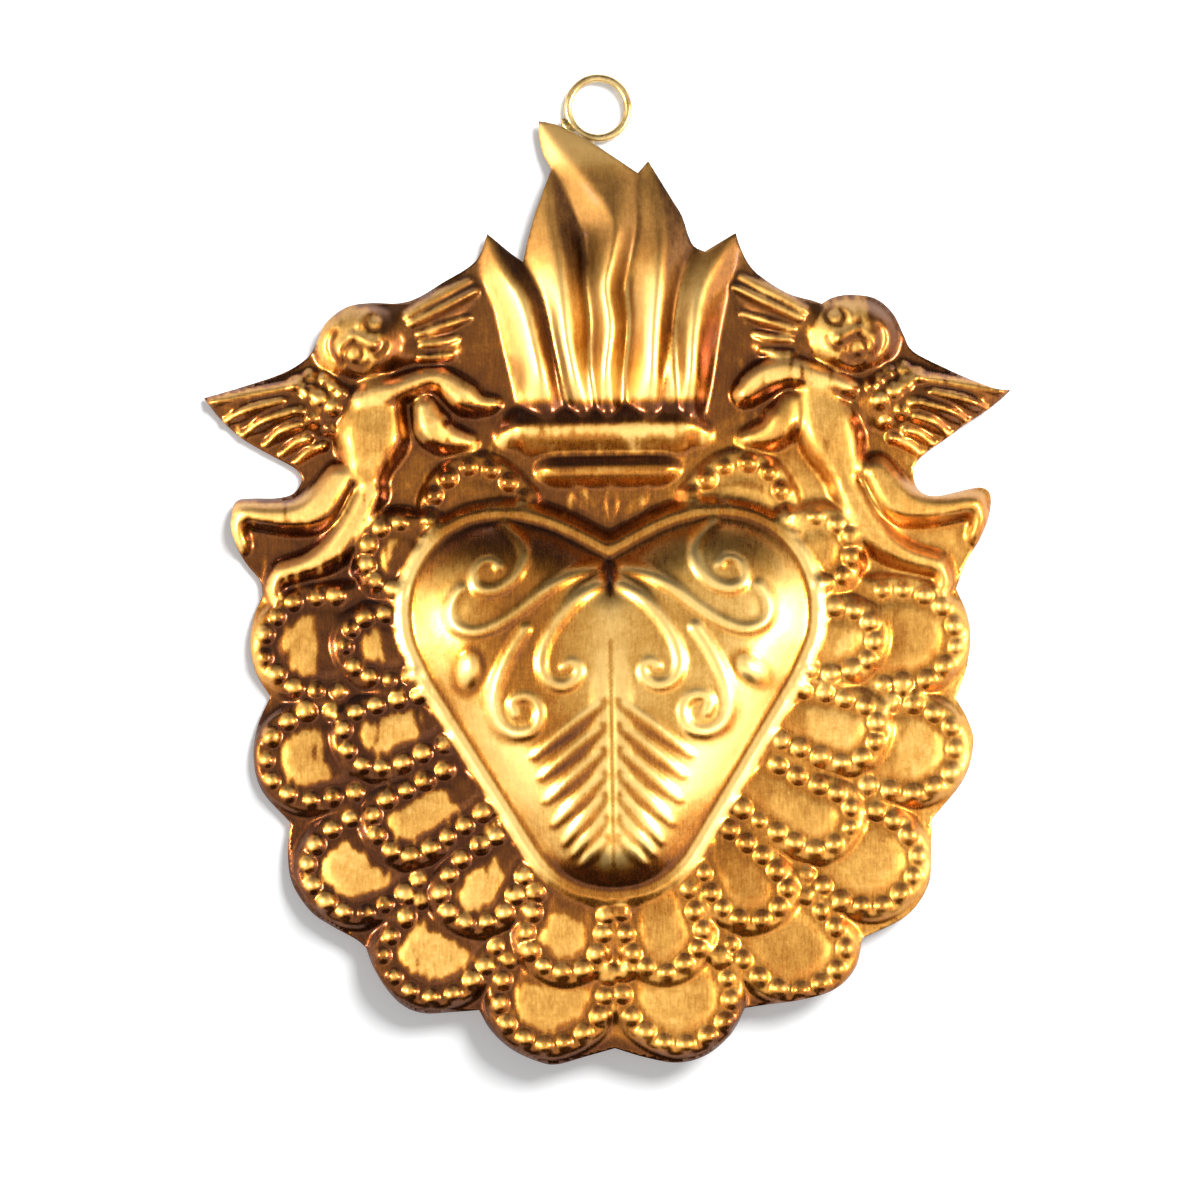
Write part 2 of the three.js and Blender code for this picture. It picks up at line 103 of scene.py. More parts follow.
def wander(sigma, amount, tall=1.0):
    """Soft random unevenness with the given grain size and spread."""
    field = blur(random.standard_normal(X.shape), sigma, tall)
    return field * (amount / field.std())


def smooth_path(points, step=PATH_STEP):
    """Rows of numbers along a smooth curve through the given rows."""
    p = np.array(points, float)
    ends = np.vstack([2 * p[0] - p[1], p, 2 * p[-1] - p[-2]])
    rows = []
    for a, b, c, d in zip(ends, ends[1:], ends[2:], ends[3:]):
        count = max(2, int(np.hypot(*(c - b)[:2]) / step))
        t = np.linspace(0, 1, count, endpoint=False)[:, None]
        rows.append(0.5 * (2 * b + (c - a) * t + (2 * a - 5 * b + 4 * c - d) * t ** 2
                           + (3 * b - a - 3 * c + d) * t ** 3))
    return np.vstack(rows + [p[-1:]])


def window(path, reach):
    """Slices of the raster that hold the path and a margin round it."""
    low, high = path[:, :2].min(0) - reach, path[:, :2].max(0) + reach
    i0, i1 = np.searchsorted(grid_x, (low[0], high[0]))
    j0, j1 = np.searchsorted(grid_z, (low[1], high[1]))
    return slice(j0, j1), slice(i0, i1)


def across(path, win):
    """Distance to the path, the side of it (+1 left) and the path's other columns at the nearest place."""
    x, z = X[win], Z[win]
    best = np.full(x.shape, np.inf)
    side = np.zeros_like(x)
    carried = [np.zeros_like(x) for _ in range(path.shape[1] - 2)]
    for a, b in zip(path, path[1:]):
        dx, dz = b[0] - a[0], b[1] - a[1]
        u = np.clip(((x - a[0]) * dx + (z - a[1]) * dz) / (dx * dx + dz * dz + 1e-12), 0, 1)
        ox, oz = x - a[0] - u * dx, z - a[1] - u * dz
        gap = np.hypot(ox, oz)
        near = gap < best
        best = np.where(near, gap, best)
        side = np.where(near, np.sign(dx * oz - dz * ox), side)
        for k, column in enumerate(carried):
            carried[k] = np.where(near, a[2 + k] + u * (b[2 + k] - a[2 + k]), column)
    return best, side, carried


def inside(polygon, win):
    """True where the raster lies inside a closed polygon."""
    x, z = X[win], Z[win]
    hit = np.zeros(x.shape, bool)
    for a, b in zip(polygon, np.roll(polygon, -1, 0)):
        if a[1] != b[1]:
            crosses = (a[1] > z) != (b[1] > z)
            hit ^= crosses & (x < (b[0] - a[0]) * (z - a[1]) / (b[1] - a[1]) + a[0])
    return hit


def beyond(polygon, win):
    """How far each place lies outside a closed polygon, below zero inside it."""
    gap, _, _ = across(np.vstack([polygon, polygon[:1]]), win)
    return np.where(inside(polygon, win), -gap, gap)


def mirror(points):
    """The same rows on the other half of the ornament."""
    rows = np.array(points, float)
    rows[:, 0] = 2 * AXIS - rows[:, 0]
    return rows


def press(win, height, rub, tone=None, blend=0.0):
    """Raises the sheet to a height wherever that is above it."""
    lifted = height > relief[win]
    relief[win] = np.where(lifted, height, relief[win])
    rub_and_light[win] = np.where(lifted, rub, rub_and_light[win])
    bare[win] = np.where(lifted, BARE if tone is None else tone, bare[win])
    satin[win] = np.where(lifted, blend, satin[win])


def emboss(win, height, rub):
    """Adds a raised or sunk detail on top of the sheet."""
    relief[win] += height
    rub_and_light[win] = np.clip(rub_and_light[win] + rub, 0, 1)


def dome(share, power=2.0):
    """Height share of a rounded form across its half-width."""
    return np.clip(1 - share ** power, 0, None)


def profile(rows, first_side=1):
    """Window of a tapered form, the share of its half-width at each place, the side and the rise.

    Each row is x, z, half-width, rise; or it has two half-widths, the first one for the first side.
    """
    path = smooth_path(rows)
    win = window(path, path[:, 2:-1].max() + MARGIN)
    gap, side, (*widths, rise) = across(path, win)
    width = np.where(side == first_side, widths[0], widths[-1])
    return win, gap / np.maximum(width, THINNEST), side, rise


def ridge(rows, power, rub, tone=None):
    """Presses a tapered ridge."""
    win, share, _, rise = profile(rows)
    press(win, rise * dome(share, power), rub * ease(*RIDGE_FADE, share), tone)


def line(rows, rub):
    """Embosses a tapered line, or a groove where the rise is below zero."""
    win, share, _, rise = profile(rows)
    shape = dome(share)
    emboss(win, rise * shape, rub * shape * np.sign(rise))


def bump(x, z, radius, rise, rub, power):
    """Embosses a round bead or a shallow dimple; its worn cap sits a little up and left of its middle, a
    painted lit side.
    """
    win = window(np.array([[x, z]]), radius + BUMP_MARGIN)
    shape = dome(np.hypot(X[win] - x, Z[win] - z) / radius) ** power
    off = np.hypot(X[win] - x + LIT_SIDE_SHIFT, Z[win] - z - LIT_SIDE_SHIFT) / radius
    emboss(win, rise * shape, rub * ease(*BUMP_FADE, off))


# Cut edge of the sheet: smooth runs that meet at the snipped corners, clockwise from the left wing.
# Each run starts where the last one ended.
OUTLINE_RUNS = [
    [(-16.7, 41.8), (-15.3, 43.3), (-14.3, 45.9)],
    [(-11.5, 43.5), (-9.9, 42.3)],
    [(-9.2, 45.3), (-8.3, 48.3), (-7.4, 50.7), (-6.2, 53.8)],
    [(-7.2, 55.8), (-7.7, 58), (-7.7, 59.9)],
    [(-6.2, 59.6), (-4.5, 59), (-0.7, 56.8), (4.6, 53.2)],
    [(5.9, 54.7)],
    [(8.7, 50), (10, 47.8), (10.8, 45.3), (11.5, 44), (12.8, 43.3)],
    [(16.7, 45.6)],
    [(17.3, 43.7), (18.3, 41.7), (19.7, 40.2), (23, 38), (26.2, 37), (27.3, 36.6)],
    [(28.8, 37.4), (31, 37.7), (34, 37.2), (36.2, 35.3), (37.5, 32.6), (38.7, 30.5),
     (43, 28.2), (46.3, 26.7), (48.8, 25.7), (50.8, 25.5)],
    [(49.3, 24.2), (47, 22.5), (45, 21.3), (42.8, 19.7), (40.3, 18), (38.8, 16.5),
     (38.5, 14.7), (39.3, 13), (41.3, 12.4), (45.7, 13.3), (47.3, 13.3), (48.1, 12.3), (47.8, 9.7),
     (46.5, 6.7), (45, 4.3), (43.6, 0.8)],
    [(44.8, -2), (45.3, -5), (44.8, -9), (43.4, -12.9)],
    [(44.8, -15.5), (45.5, -18.5), (44.2, -23), (40.2, -27.9)],
    [(40, -32), (39.6, -36.2), (36.8, -40), (31.3, -42.7)],
    [(30.4, -46.3), (28, -48.8), (24, -50.1), (16.5, -51.2)],
    [(14.7, -54.4), (11.6, -57), (8, -57.9), (4, -57.2), (0.2, -56)],
    [(-3.5, -57), (-7, -57.9), (-9.2, -57.6), (-12.6, -56), (-15.2, -53.6), (-16.7, -51)],
    [(-20, -51.2), (-23.5, -51.3), (-26, -50.4), (-28, -48.4), (-29.8, -45.4), (-30.7, -43)],
    [(-32, -41.9), (-35, -40.2), (-37.6, -38.3), (-39.8, -34.8), (-40.3, -31), (-39.9, -27.3)],
    [(-43.4, -23.2), (-44.4, -19), (-43.8, -15), (-42.2, -11.5)],
    [(-43.9, -8.6), (-44.6, -5.2), (-44.2, -1.8), (-43, 1.2)],
    [(-43.3, 3), (-45, 5.2), (-46, 7), (-46.8, 9.7), (-46.6, 12), (-45.9, 13.1), (-44, 13.3),
     (-41, 13.3), (-38.9, 13.9), (-37.9, 15.6), (-38.8, 17), (-42, 18.8), (-45.3, 20.8), (-48, 23.3),
     (-50, 25.9)],
    [(-45.3, 27.2), (-40.3, 28.8), (-37.3, 30.5), (-36, 32.2), (-34.6, 35), (-32, 37),
     (-29, 37.5), (-25.5, 37.4), (-23, 38.1), (-20, 39.9)],
]
OUTLINE_STARTS = [run[-1] for run in OUTLINE_RUNS[-1:] + OUTLINE_RUNS[:-1]]
OUTLINE = np.vstack([smooth_path([start] + run, EDGE_PITCH)[:-1]
                     for start, run in zip(OUTLINE_STARTS, OUTLINE_RUNS)])

# Field: a soft pillow that sinks to a flat snipped flange at the edge
FIELD_RISE = 0.3
FLANGE = 0.5
PILLOW = 4.5
COARSE = 4
coarse = (slice(None, None, COARSE), slice(None, None, COARSE))


def edge_depth():
    """How far each place lies inside the cut edge, below zero outside it."""
    cx, cz = grid_x[::COARSE], grid_z[::COARSE]
    rows = np.array([np.interp(grid_x, cx, row) for row in -beyond(OUTLINE, coarse)])
    return np.array([np.interp(grid_z, cz, column) for column in rows.T]).T


depth = edge_depth()
relief += FIELD_RISE * ease(FLANGE, PILLOW, depth)

# Finish, from 0 for thick patina to 1 for bare brass, with painted highlights and painted shade worked in.
# The rubbing field says where the polishing took the patina off and also holds the painted light and shade,
# bare how bright the metal is there and satin where the two run together. The patina is thinner by the zones'
# amounts: towards the top, on the right, at the foot and in a belt beside the bowl.
PATINA, BARE = 0.08, 0.72
PATINA_ZONES = [
    (0.13, [("z", -6, 16)]),
    (0.48, [("x", -14, 26), ("z", 30, 6)]),
    (0.22, [("z", -30, -42), ("x", -24, -8), ("x", 24, 4)]),
    (0.14, [("z", 4, 10), ("z", 24, 15), ("wide", 4, 12), ("wide", 32, 22)]),
]
plate = {"x": X, "z": Z, "wide": np.abs(X), "off": np.abs(X - AXIS), "depth": depth}
patina = PATINA + zones(PATINA_ZONES, plate)
rub_and_light = np.zeros_like(X)
bare = np.full_like(X, BARE)
satin = np.zeros_like(X)

# Scallops of the border, left half: the row of beads of each, from the heart out, round and back
OUTER_ROWS = [
    [(-33.6, 0.9), (-38, 0.6), (-41.9, -2.3), (-42.8, -5.2), (-41.9, -8), (-38.6, -10.5), (-33.6, -11)],
    [(-34.6, -13.3), (-38.3, -13.8), (-41.6, -15.9), (-42.7, -19.2), (-41.5, -22.5), (-37.6, -24.5),
     (-31.6, -23.5)],
    [(-32.4, -26.8), (-35.8, -29), (-37.7, -32.4), (-36.6, -35.9), (-32.8, -38.6), (-28.2, -37.8),
     (-23.8, -34.4)],
    [(-23.6, -37.3), (-27.2, -41.2), (-28.4, -44.2), (-26.4, -47.5), (-22.4, -49.2), (-17.9, -47.6),
     (-14.2, -42.9)],
    [(-12.7, -44.9), (-14.1, -49.4), (-12.6, -53.4), (-7.8, -55.5), (-3, -53.5), (-1, -50.4), (-0.7, -46.6)],
]
INNER_ROWS = [
    [(-21.8, 10.6), (-21.5, 13), (-19.4, 15.8), (-16, 16.9), (-12.8, 15.6), (-10, 12.9)],
    [(-23.2, 9.3), (-26.4, 9.9), (-29.2, 8.1), (-29.9, 5), (-28.7, 2.5), (-26.5, 1.7)],
    [(-27.6, -1.3), (-30.2, -1.7), (-32.4, -3.7), (-32.6, -6), (-30.6, -8.8), (-27.2, -9.6), (-24.6, -9.1)],
    [(-23.6, -11.6), (-28, -12.5), (-31.8, -13.9), (-33, -16.6), (-31.4, -19.6), (-28.2, -20.6),
     (-20.7, -17.8)],
    [(-20.6, -20.9), (-25, -23.3), (-28.3, -24.8), (-29.4, -27.8), (-27, -31), (-23, -31), (-15.8, -26.2)],
    [(-14.1, -29), (-18.2, -32), (-20.9, -35.4), (-20.6, -38.2), (-17.2, -40.1), (-13.2, -38.8),
     (-10.8, -34.2)],
    [(-9.1, -36.3), (-9.8, -39.3), (-10.7, -42.3), (-8.6, -45.4), (-5.4, -46.4), (-1.9, -44.4),
     (-0.8, -39.1)],
]
OUTER_LEVEL, INNER_LEVEL = 1.4, 2.35
SCALLOP_SHOULDER, SCALLOP_FOOT = 1.25, 2.0
LIP_PLACE, LIP_WIDTH, LIP_RISE, LIP_RUB = 1.35, 0.3, 0.2, 0.12
# Brightness of the rubbed pads, from the top scallop down
OUTER_TONES_LEFT = (0.64, 0.64, 0.74, 0.68, 0.64)
OUTER_TONES_RIGHT = (0.66, 0.68, 0.6, 0.56, 0.64)
INNER_TONES_LEFT = (0.34, 0.66, 0.66, 0.72, 0.68, 0.72, 0.68)
INNER_TONES_RIGHT = (0.45, 0.6, 0.7, 0.72, 0.62, 0.54, 0.58)
MOAT_PLACE, MOAT_WIDTH, MOAT_DEPTH = -1.3, 0.45, 0.28
PAD_START, PAD_FULL, PAD_RISE = 1.2, 3.0, 0.25
# Each pad's rubbing stops short of its open end, which is left dark as painted shade beside the higher form
# next to it.
RUB_START, RUB_FULL, RUB_SHY, SHY_FADE = 1.0, 2.7, 1.6, 1.8
LEG_RUN = 4.0
TOP_LEVEL, TOP_LEG = 1.4, 0.5
BEAD_PITCH, BEAD_RADIUS, BEAD_RISE = 2.68, 1.08, 0.75
BEAD_SCATTER, BEAD_SPREAD, BEAD_RUB, BEAD_POWER, BEAD_CLEAR = 0.1, 0.8, 0.9, 0.5, 2.0
struck = []


def along(path, pitch):
    """Points at an even pitch along a path, its two ends among them."""
    steps = np.hypot(*np.diff(path[:, :2], axis=0).T)
    length = np.concatenate([[0], np.cumsum(steps)])
    at = np.linspace(0, length[-1], int(round(length[-1] / pitch)) + 1)
    return np.stack([np.interp(at, length, path[:, k]) for k in (0, 1)], 1)


def scallop_body(rows, level, tone, leg=LEG_RUN, shy=0.0):
    """The pad of one scallop, with a moat inside the beads and a worn middle shy of its open end, where
    painted shade lies beside the higher form.
    """
    beads = smooth_path(rows)
    first, last = beads[0] - beads[2], beads[-1] - beads[-3]
    body = np.vstack([beads[0] + first / np.hypot(*first) * leg, beads,
                      beads[-1] + last / np.hypot(*last) * leg])
    win = window(body, SCALLOP_FOOT + MARGIN)
    gap, _, _ = across(body, win)
    outward = np.where(inside(body, win), -gap, gap)
    height = level * ease(SCALLOP_FOOT, SCALLOP_SHOULDER, outward)
    height -= MOAT_DEPTH * np.exp(-((outward - MOAT_PLACE) / MOAT_WIDTH) ** 2)
    height += PAD_RISE * ease(PAD_START, PAD_FULL, -outward)
    mouth_gap, _, _ = across(np.vstack([beads[-1:], beads[:1]]), win)
    rub = ease(RUB_START, RUB_FULL, -beyond(beads, win)) * ease(shy, shy + SHY_FADE, mouth_gap)
    press(win, height, rub, tone)


def scallop_beads(rows):
    """The lip and the beads that are struck along one scallop, where no other bead sits already."""
    beads = smooth_path(rows)
    win = window(beads, SCALLOP_FOOT + MARGIN)
    gap, _, _ = across(beads, win)
    lip = np.exp(-((gap - LIP_PLACE) / LIP_WIDTH) ** 2) * ~inside(beads, win)
    emboss(win, LIP_RISE * lip, LIP_RUB * lip)
    taken = list(struck)
    for x, z in along(beads, BEAD_PITCH):
        if any(math.hypot(x - a, z - b) < BEAD_CLEAR for a, b in taken):
            continue
        struck.append((x, z))
        dx, dz, size, shine = random.standard_normal(4) * BEAD_SCATTER
        radius, rise = BEAD_RADIUS * (1 + BEAD_SPREAD * size), BEAD_RISE * (1 + size)
        bump(x + dx, z + dz, radius, rise, BEAD_RUB + shine, BEAD_POWER)


for rows, left_tone, right_tone in zip(OUTER_ROWS, OUTER_TONES_LEFT, OUTER_TONES_RIGHT):
    scallop_body(rows, OUTER_LEVEL, left_tone, shy=RUB_SHY)
    scallop_body(mirror(rows), OUTER_LEVEL, right_tone, shy=RUB_SHY)
for k, (rows, left_tone, right_tone) in enumerate(zip(INNER_ROWS, INNER_TONES_LEFT, INNER_TONES_RIGHT)):
    level, leg = (INNER_LEVEL, LEG_RUN) if k else (TOP_LEVEL, TOP_LEG)
    scallop_body(rows, level, left_tone, leg)
    scallop_body(mirror(rows), level, right_tone, leg)

# Cherubs, left one: rows of x, z, half-width, rise
WING_PADS = [
    [(-33.4, 25, 4.6, 2.2), (-38.5, 24.4, 4.6, 1.9), (-44, 24.4, 2.6, 1.4), (-48.8, 25.4, 0.9, 0.9)],
    [(-25.6, 34, 3.6, 1.9), (-21, 36, 3.2, 1.6), (-16.6, 38.6, 1.4, 1.0)],
    [(-24.5, 31.4, 2.4, 1.7), (-19, 31.6, 1.6, 1.1)],
]
FEATHERS = [
    [(-38.6, 27.2), (-44, 26.4), (-49.2, 25.3)],
    [(-40.2, 25.5), (-44, 24.5), (-47.3, 22.9)],
    [(-38.6, 24.1), (-42, 23), (-45.2, 21.2)],
    [(-38, 22.3), (-40.4, 21.4), (-42.3, 20)],
    [(-37, 20.6), (-38.8, 19.9), (-40.3, 18.8)],
    [(-34.9, 19.9), (-37, 19), (-38.5, 17.8)],
    [(-24.4, 35.8), (-20.8, 38), (-16.6, 40.2)],
    [(-23.8, 34.8), (-20.2, 36.6), (-15.8, 38.8)],
    [(-22.9, 33.3), (-19.8, 34.3), (-16.7, 35.5)],
    [(-22.5, 32.2), (-20.4, 32.5), (-18.3, 33)],
    [(-22.8, 30.4), (-21, 30.4), (-19, 30.7)],
]
WING_POWER, WING_RUB = 2.0, 0.1
FEATHER_WIDTH, FEATHER_RISE, FEATHER_RUB = 0.72, 0.85, 1.0
FEATHER_TAPER = [(0.9, 0.8), (1.1, 1.0), (0.7, 0.7)]
COVERTS = [
    (-38.3, 27.4, 1.2), (-36.9, 26.5, 1.1), (-35.5, 25.6, 1.1), (-36.7, 28.5, 1.0), (-34.9, 28.1, 0.8),
    (-33.7, 27.2, 0.8), (-32.6, 26.3, 0.8), (-33.7, 24.4, 1.1), (-36.4, 22.9, 1.0), (-37.8, 24, 0.8),
    (-34.3, 21.6, 0.9), (-36.9, 20.4, 0.7), (-35.2, 19.6, 0.7),
]
COVERT_RISE, COVERT_RUB, COVERT_POWER = 0.7, 0.5, 0.8
TORSO = [(-28.2, 25.4, 3.4, 2.9), (-29.1, 20.8, 4.9, 3.4), (-29.8, 16.6, 2.9, 3.0)]
LIMBS = [
    [(-33.2, 15.4, 2.2, 3.1), (-35.6, 12, 2.7, 3.4), (-38.6, 10.9, 2.1, 3.2), (-42, 11, 1.7, 3.0),
     (-44.6, 11.4, 1.5, 2.8)],
    [(-45.5, 11.7, 1.2, 2.5), (-45.9, 9.4, 1.1, 2.2), (-45.2, 7.2, 0.8, 1.6)],
    [(-29.3, 13.8, 2.1, 3.0), (-31, 10.4, 2.2, 3.2), (-33.4, 7.2, 2.1, 3.2), (-36.6, 5, 1.7, 3.0),
     (-40.4, 3.9, 1.5, 2.6)],
    [(-40.9, 3.7, 1.2, 2.5), (-41.4, 1.8, 1.1, 2.2), (-41, 0.1, 0.8, 1.6)],
    [(-22.4, 24.3, 1.6, 2.8), (-21.6, 22.1, 2.4, 3.2), (-20, 20.5, 2.1, 2.8), (-17, 19.8, 1.2, 2.0)],
]
ARM = [(-30.2, 25.2, 1.6, 3.2), (-26.7, 26.1, 1.7, 3.5), (-23.3, 27.4, 1.6, 3.3), (-21, 27.9, 1.5, 3.0),
       (-18.8, 26.6, 1.8, 2.8), (-17.2, 25.3, 2.0, 2.8), (-15.6, 24.6, 1.3, 2.2), (-13.4, 24.6, 0.7, 1.7)]
# The right child's body leans in more than the left one's.
RIGHT_TORSO = [(26.6, 25, 3.0, 2.9), (28, 20.8, 4.2, 3.4), (29.7, 16.4, 3.0, 3.0)]
RIGHT_ARM = [(30.4, 26, 1.4, 3.1), (26.9, 27.2, 1.7, 3.4), (23.4, 28.1, 2.1, 3.3), (20.9, 27.7, 2.2, 3.1),
             (18.8, 26.5, 2.0, 2.8), (17.6, 25.5, 1.6, 2.6)]
LIMB_POWER, LIMB_RUB = 5.0, 1.18
TORSO_TONES, LIMB_TONES, ARM_TONE = (0.62, 0.64), (0.82, 0.64), 0.82
HEAD_X, HEAD_Z = -30.2, 32.4
HEAD_TONE, HEAD_RUB = 0.7, 0.9
# Painted shade: the head's right, past a slanting line, is kept dark.
HEAD_SHADE, HEAD_SHADE_LINE, HEAD_SHADE_SLANT = 0.75, (1.5, 4.5), 0.5
HEAD_HALF_X, HEAD_HALF_Z, HEAD_RISE, HEAD_POWER = 6.0, 5.0, 3.4, 4.0
# The face is drawn level and then turned: the crown leans out and the chin in, towards the flame.
FACE_X, FACE_Z, FACE_TURN = -29.6, 32.8, math.radians(56)
FACE_LINES = [
    [(-3.7, 1.2, 0.5, 0.3), (-2.5, 2.1, 0.55, 0.45), (-0.8, 1.7, 0.55, 0.4)],
    [(3.5, 1.1, 0.45, 0.25), (2.4, 1.9, 0.5, 0.4), (1.0, 1.6, 0.5, 0.4)],
    [(-0.3, 1.6, 0.55, 0.4), (-0.1, 0.3, 0.65, 0.65), (0, -1.1, 0.8, 0.75)],
    [(-1.4, 3.8, 0.5, -0.3), (-2.9, 3.5, 0.6, -0.5), (-3.9, 2.4, 0.6, -0.5), (-4.1, 1.0, 0.5, -0.35)],
    [(-3.6, -0.5, 0.4, -0.25), (-3.2, -1.4, 0.5, -0.4), (-2.3, -1.9, 0.45, -0.3)],
    [(-0.9, -2.2, 0.4, -0.15), (0.1, -2.35, 0.45, -0.22), (1.0, -2.2, 0.4, -0.15)],
]
FACE_LINE_RUB, FACE_GROOVE_RUB, FACE_LINE_SPREAD = 0.5, 1.3, 1.15
FACE_SOCKETS = [(-2.4, 0.1), (2.4, 0.1)]
# Radius, rise, rubbing and power of each round form of the face
SOCKET, EYE = (1.55, -0.5, -1.0, 1.0), (0.9, 0.5, 1.0, 0.8)
CHEEKS = [(-0.5, -3.2), (-2.2, -2.6)]
CHEEK = (1.5, 0.22, 0.3, 1.5)


def face_point(a, b):
    """Plate place of a point of the level face."""
    c, s = math.cos(FACE_TURN), math.sin(FACE_TURN)
    return FACE_X + a * c - b * s, FACE_Z + a * s + b * c


def cherub_body(turn, torso, arm, torso_tone, limb_tone):
    """Wings, limbs and head of a winged child; turn carries what is drawn on the left to its side."""
    for rows in WING_PADS:
        ridge(turn(rows), WING_POWER, WING_RUB)
    ridge(torso, LIMB_POWER, LIMB_RUB, torso_tone)
    for rows in LIMBS:
        ridge(turn(rows), LIMB_POWER, LIMB_RUB, limb_tone)
    ridge(arm, LIMB_POWER, LIMB_RUB, ARM_TONE)
    x, z = turn([(HEAD_X, HEAD_Z)])[0]
    win = window(np.array([[x, z]]), HEAD_HALF_X + MARGIN)
    share = np.hypot((X[win] - x) / HEAD_HALF_X, (Z[win] - z) / HEAD_HALF_Z)
    # Painted shade on the head's right side.
    dull = HEAD_SHADE * ease(*HEAD_SHADE_LINE, X[win] - x + HEAD_SHADE_SLANT * (Z[win] - z))
    press(win, HEAD_RISE * dome(share, HEAD_POWER), HEAD_RUB * ease(*BUMP_FADE, share) - dull, HEAD_TONE)


def cherub_detail(turn):
    """Feathers, coverts and face of the same child."""
    for points in FEATHERS:
        line(turn([(*point, FEATHER_WIDTH * wide, FEATHER_RISE * high)
                   for point, (wide, high) in zip(points, FEATHER_TAPER)]), FEATHER_RUB)
    for x, z, radius in COVERTS:
        bump(*turn([(x, z)])[0], radius, COVERT_RISE, COVERT_RUB, COVERT_POWER)
    for a, b in FACE_SOCKETS:
        bump(*turn([face_point(a, b)])[0], *SOCKET)
        bump(*turn([face_point(a, b)])[0], *EYE)
    for a, b in CHEEKS:
        bump(*turn([face_point(a, b)])[0], *CHEEK)
    for rows in FACE_LINES:
        rub = FACE_LINE_RUB if rows[0][3] > 0 else FACE_GROOVE_RUB
        line(turn([(*face_point(a, b), FACE_LINE_SPREAD * w, r) for a, b, w, r in rows]), rub)


def same(rows):
    return np.array(rows, float)


cherub_body(same, TORSO, ARM, TORSO_TONES[0], LIMB_TONES[0])
cherub_body(mirror, RIGHT_TORSO, RIGHT_ARM, TORSO_TONES[1], LIMB_TONES[1])

# Bowl under the flames: rows of x, z, half-width above, half-width below, rise, and a fan of small leaves
BOWL_LIP = [(-12.2, 20.8, 2.0, 2.2, 1.5), (-10.8, 21.4, 2.9, 3.8, 2.5), (-8, 21.6, 3.0, 4.1, 2.7),
            (8, 21.6, 3.0, 4.1, 2.7), (10.6, 21.4, 2.9, 3.8, 2.5), (12, 20.8, 2.0, 2.2, 1.5)]
BOWL_BAND = [(-8, 16, 1.3, 1.5, 1.1), (-6.8, 16.3, 2.2, 2.4, 1.9), (0.4, 16.4, 2.2, 2.6, 2.1),
             (7.6, 16.3, 2.2, 2.4, 1.9), (8.8, 16, 1.3, 1.5, 1.1)]
FAN_LEAVES = [
    [(-4.1, 14.3, 0.6, 0.15), (-2.9, 12.7, 1.2, 0.36), (-1.3, 10.9, 0.6, 0.18)],
    [(0.7, 14, 0.6, 0.15), (0.8, 12.3, 1.1, 0.36), (0.7, 10, 0.5, 0.18)],
    [(5.2, 13.6, 0.6, 0.15), (4.1, 12, 1.2, 0.36), (2.7, 10.5, 0.6, 0.18)],
]
FAN_RUB = 0.12


def tent(rows, rub_left, rub_right, dull, painted_shade):
    """Presses a flame, whose two flanks are worn unlike each other, the right one darker as painted shade and
    brighter at its foot as a painted highlight, and duller towards the top.
    """
    win, share, side, rise = profile(rows)
    z = Z[win]
    up = ease(FLAME_DULL_FROM, FLAME_DULL_TO, z) * ease(FLAME_TIP_TO, FLAME_TIP_FROM, z)
    rub_right = (rub_right * (1 - painted_shade * up + FLAME_FOOT * ease(FLAME_FOOT_TO, FLAME_FOOT_FROM, z))
                 + FLAME_TIP * ease(FLAME_TIP_FROM, FLAME_TIP_TO, z))
    rub_left = rub_left - dull * up
    over_crest = lerp(rub_right, rub_left, ease(*FLAME_CREST, share))
    rub = np.where(side > 0, rub_left * ease(*BUMP_FADE, share), over_crest)
    rub = rub * ease(FLAME_SOOT_FROM, FLAME_SOOT_TO, z)
    press(win, rise * dome(share, FLAME_POWER), rub, blend=1.0)


def bar(rows, rub, tone):
    """Presses a lying bar that is worn bright along its lower half."""
    win, share, side, rise = profile(rows)
    up = share * np.where(side > 0, 1, -1)
    rub = rub * ease(*BAR_FOOT, up) * ease(*BAR_TOP, up)
    press(win, rise * dome(share, BOWL_POWER), rub, tone, BOWL_BLEND)


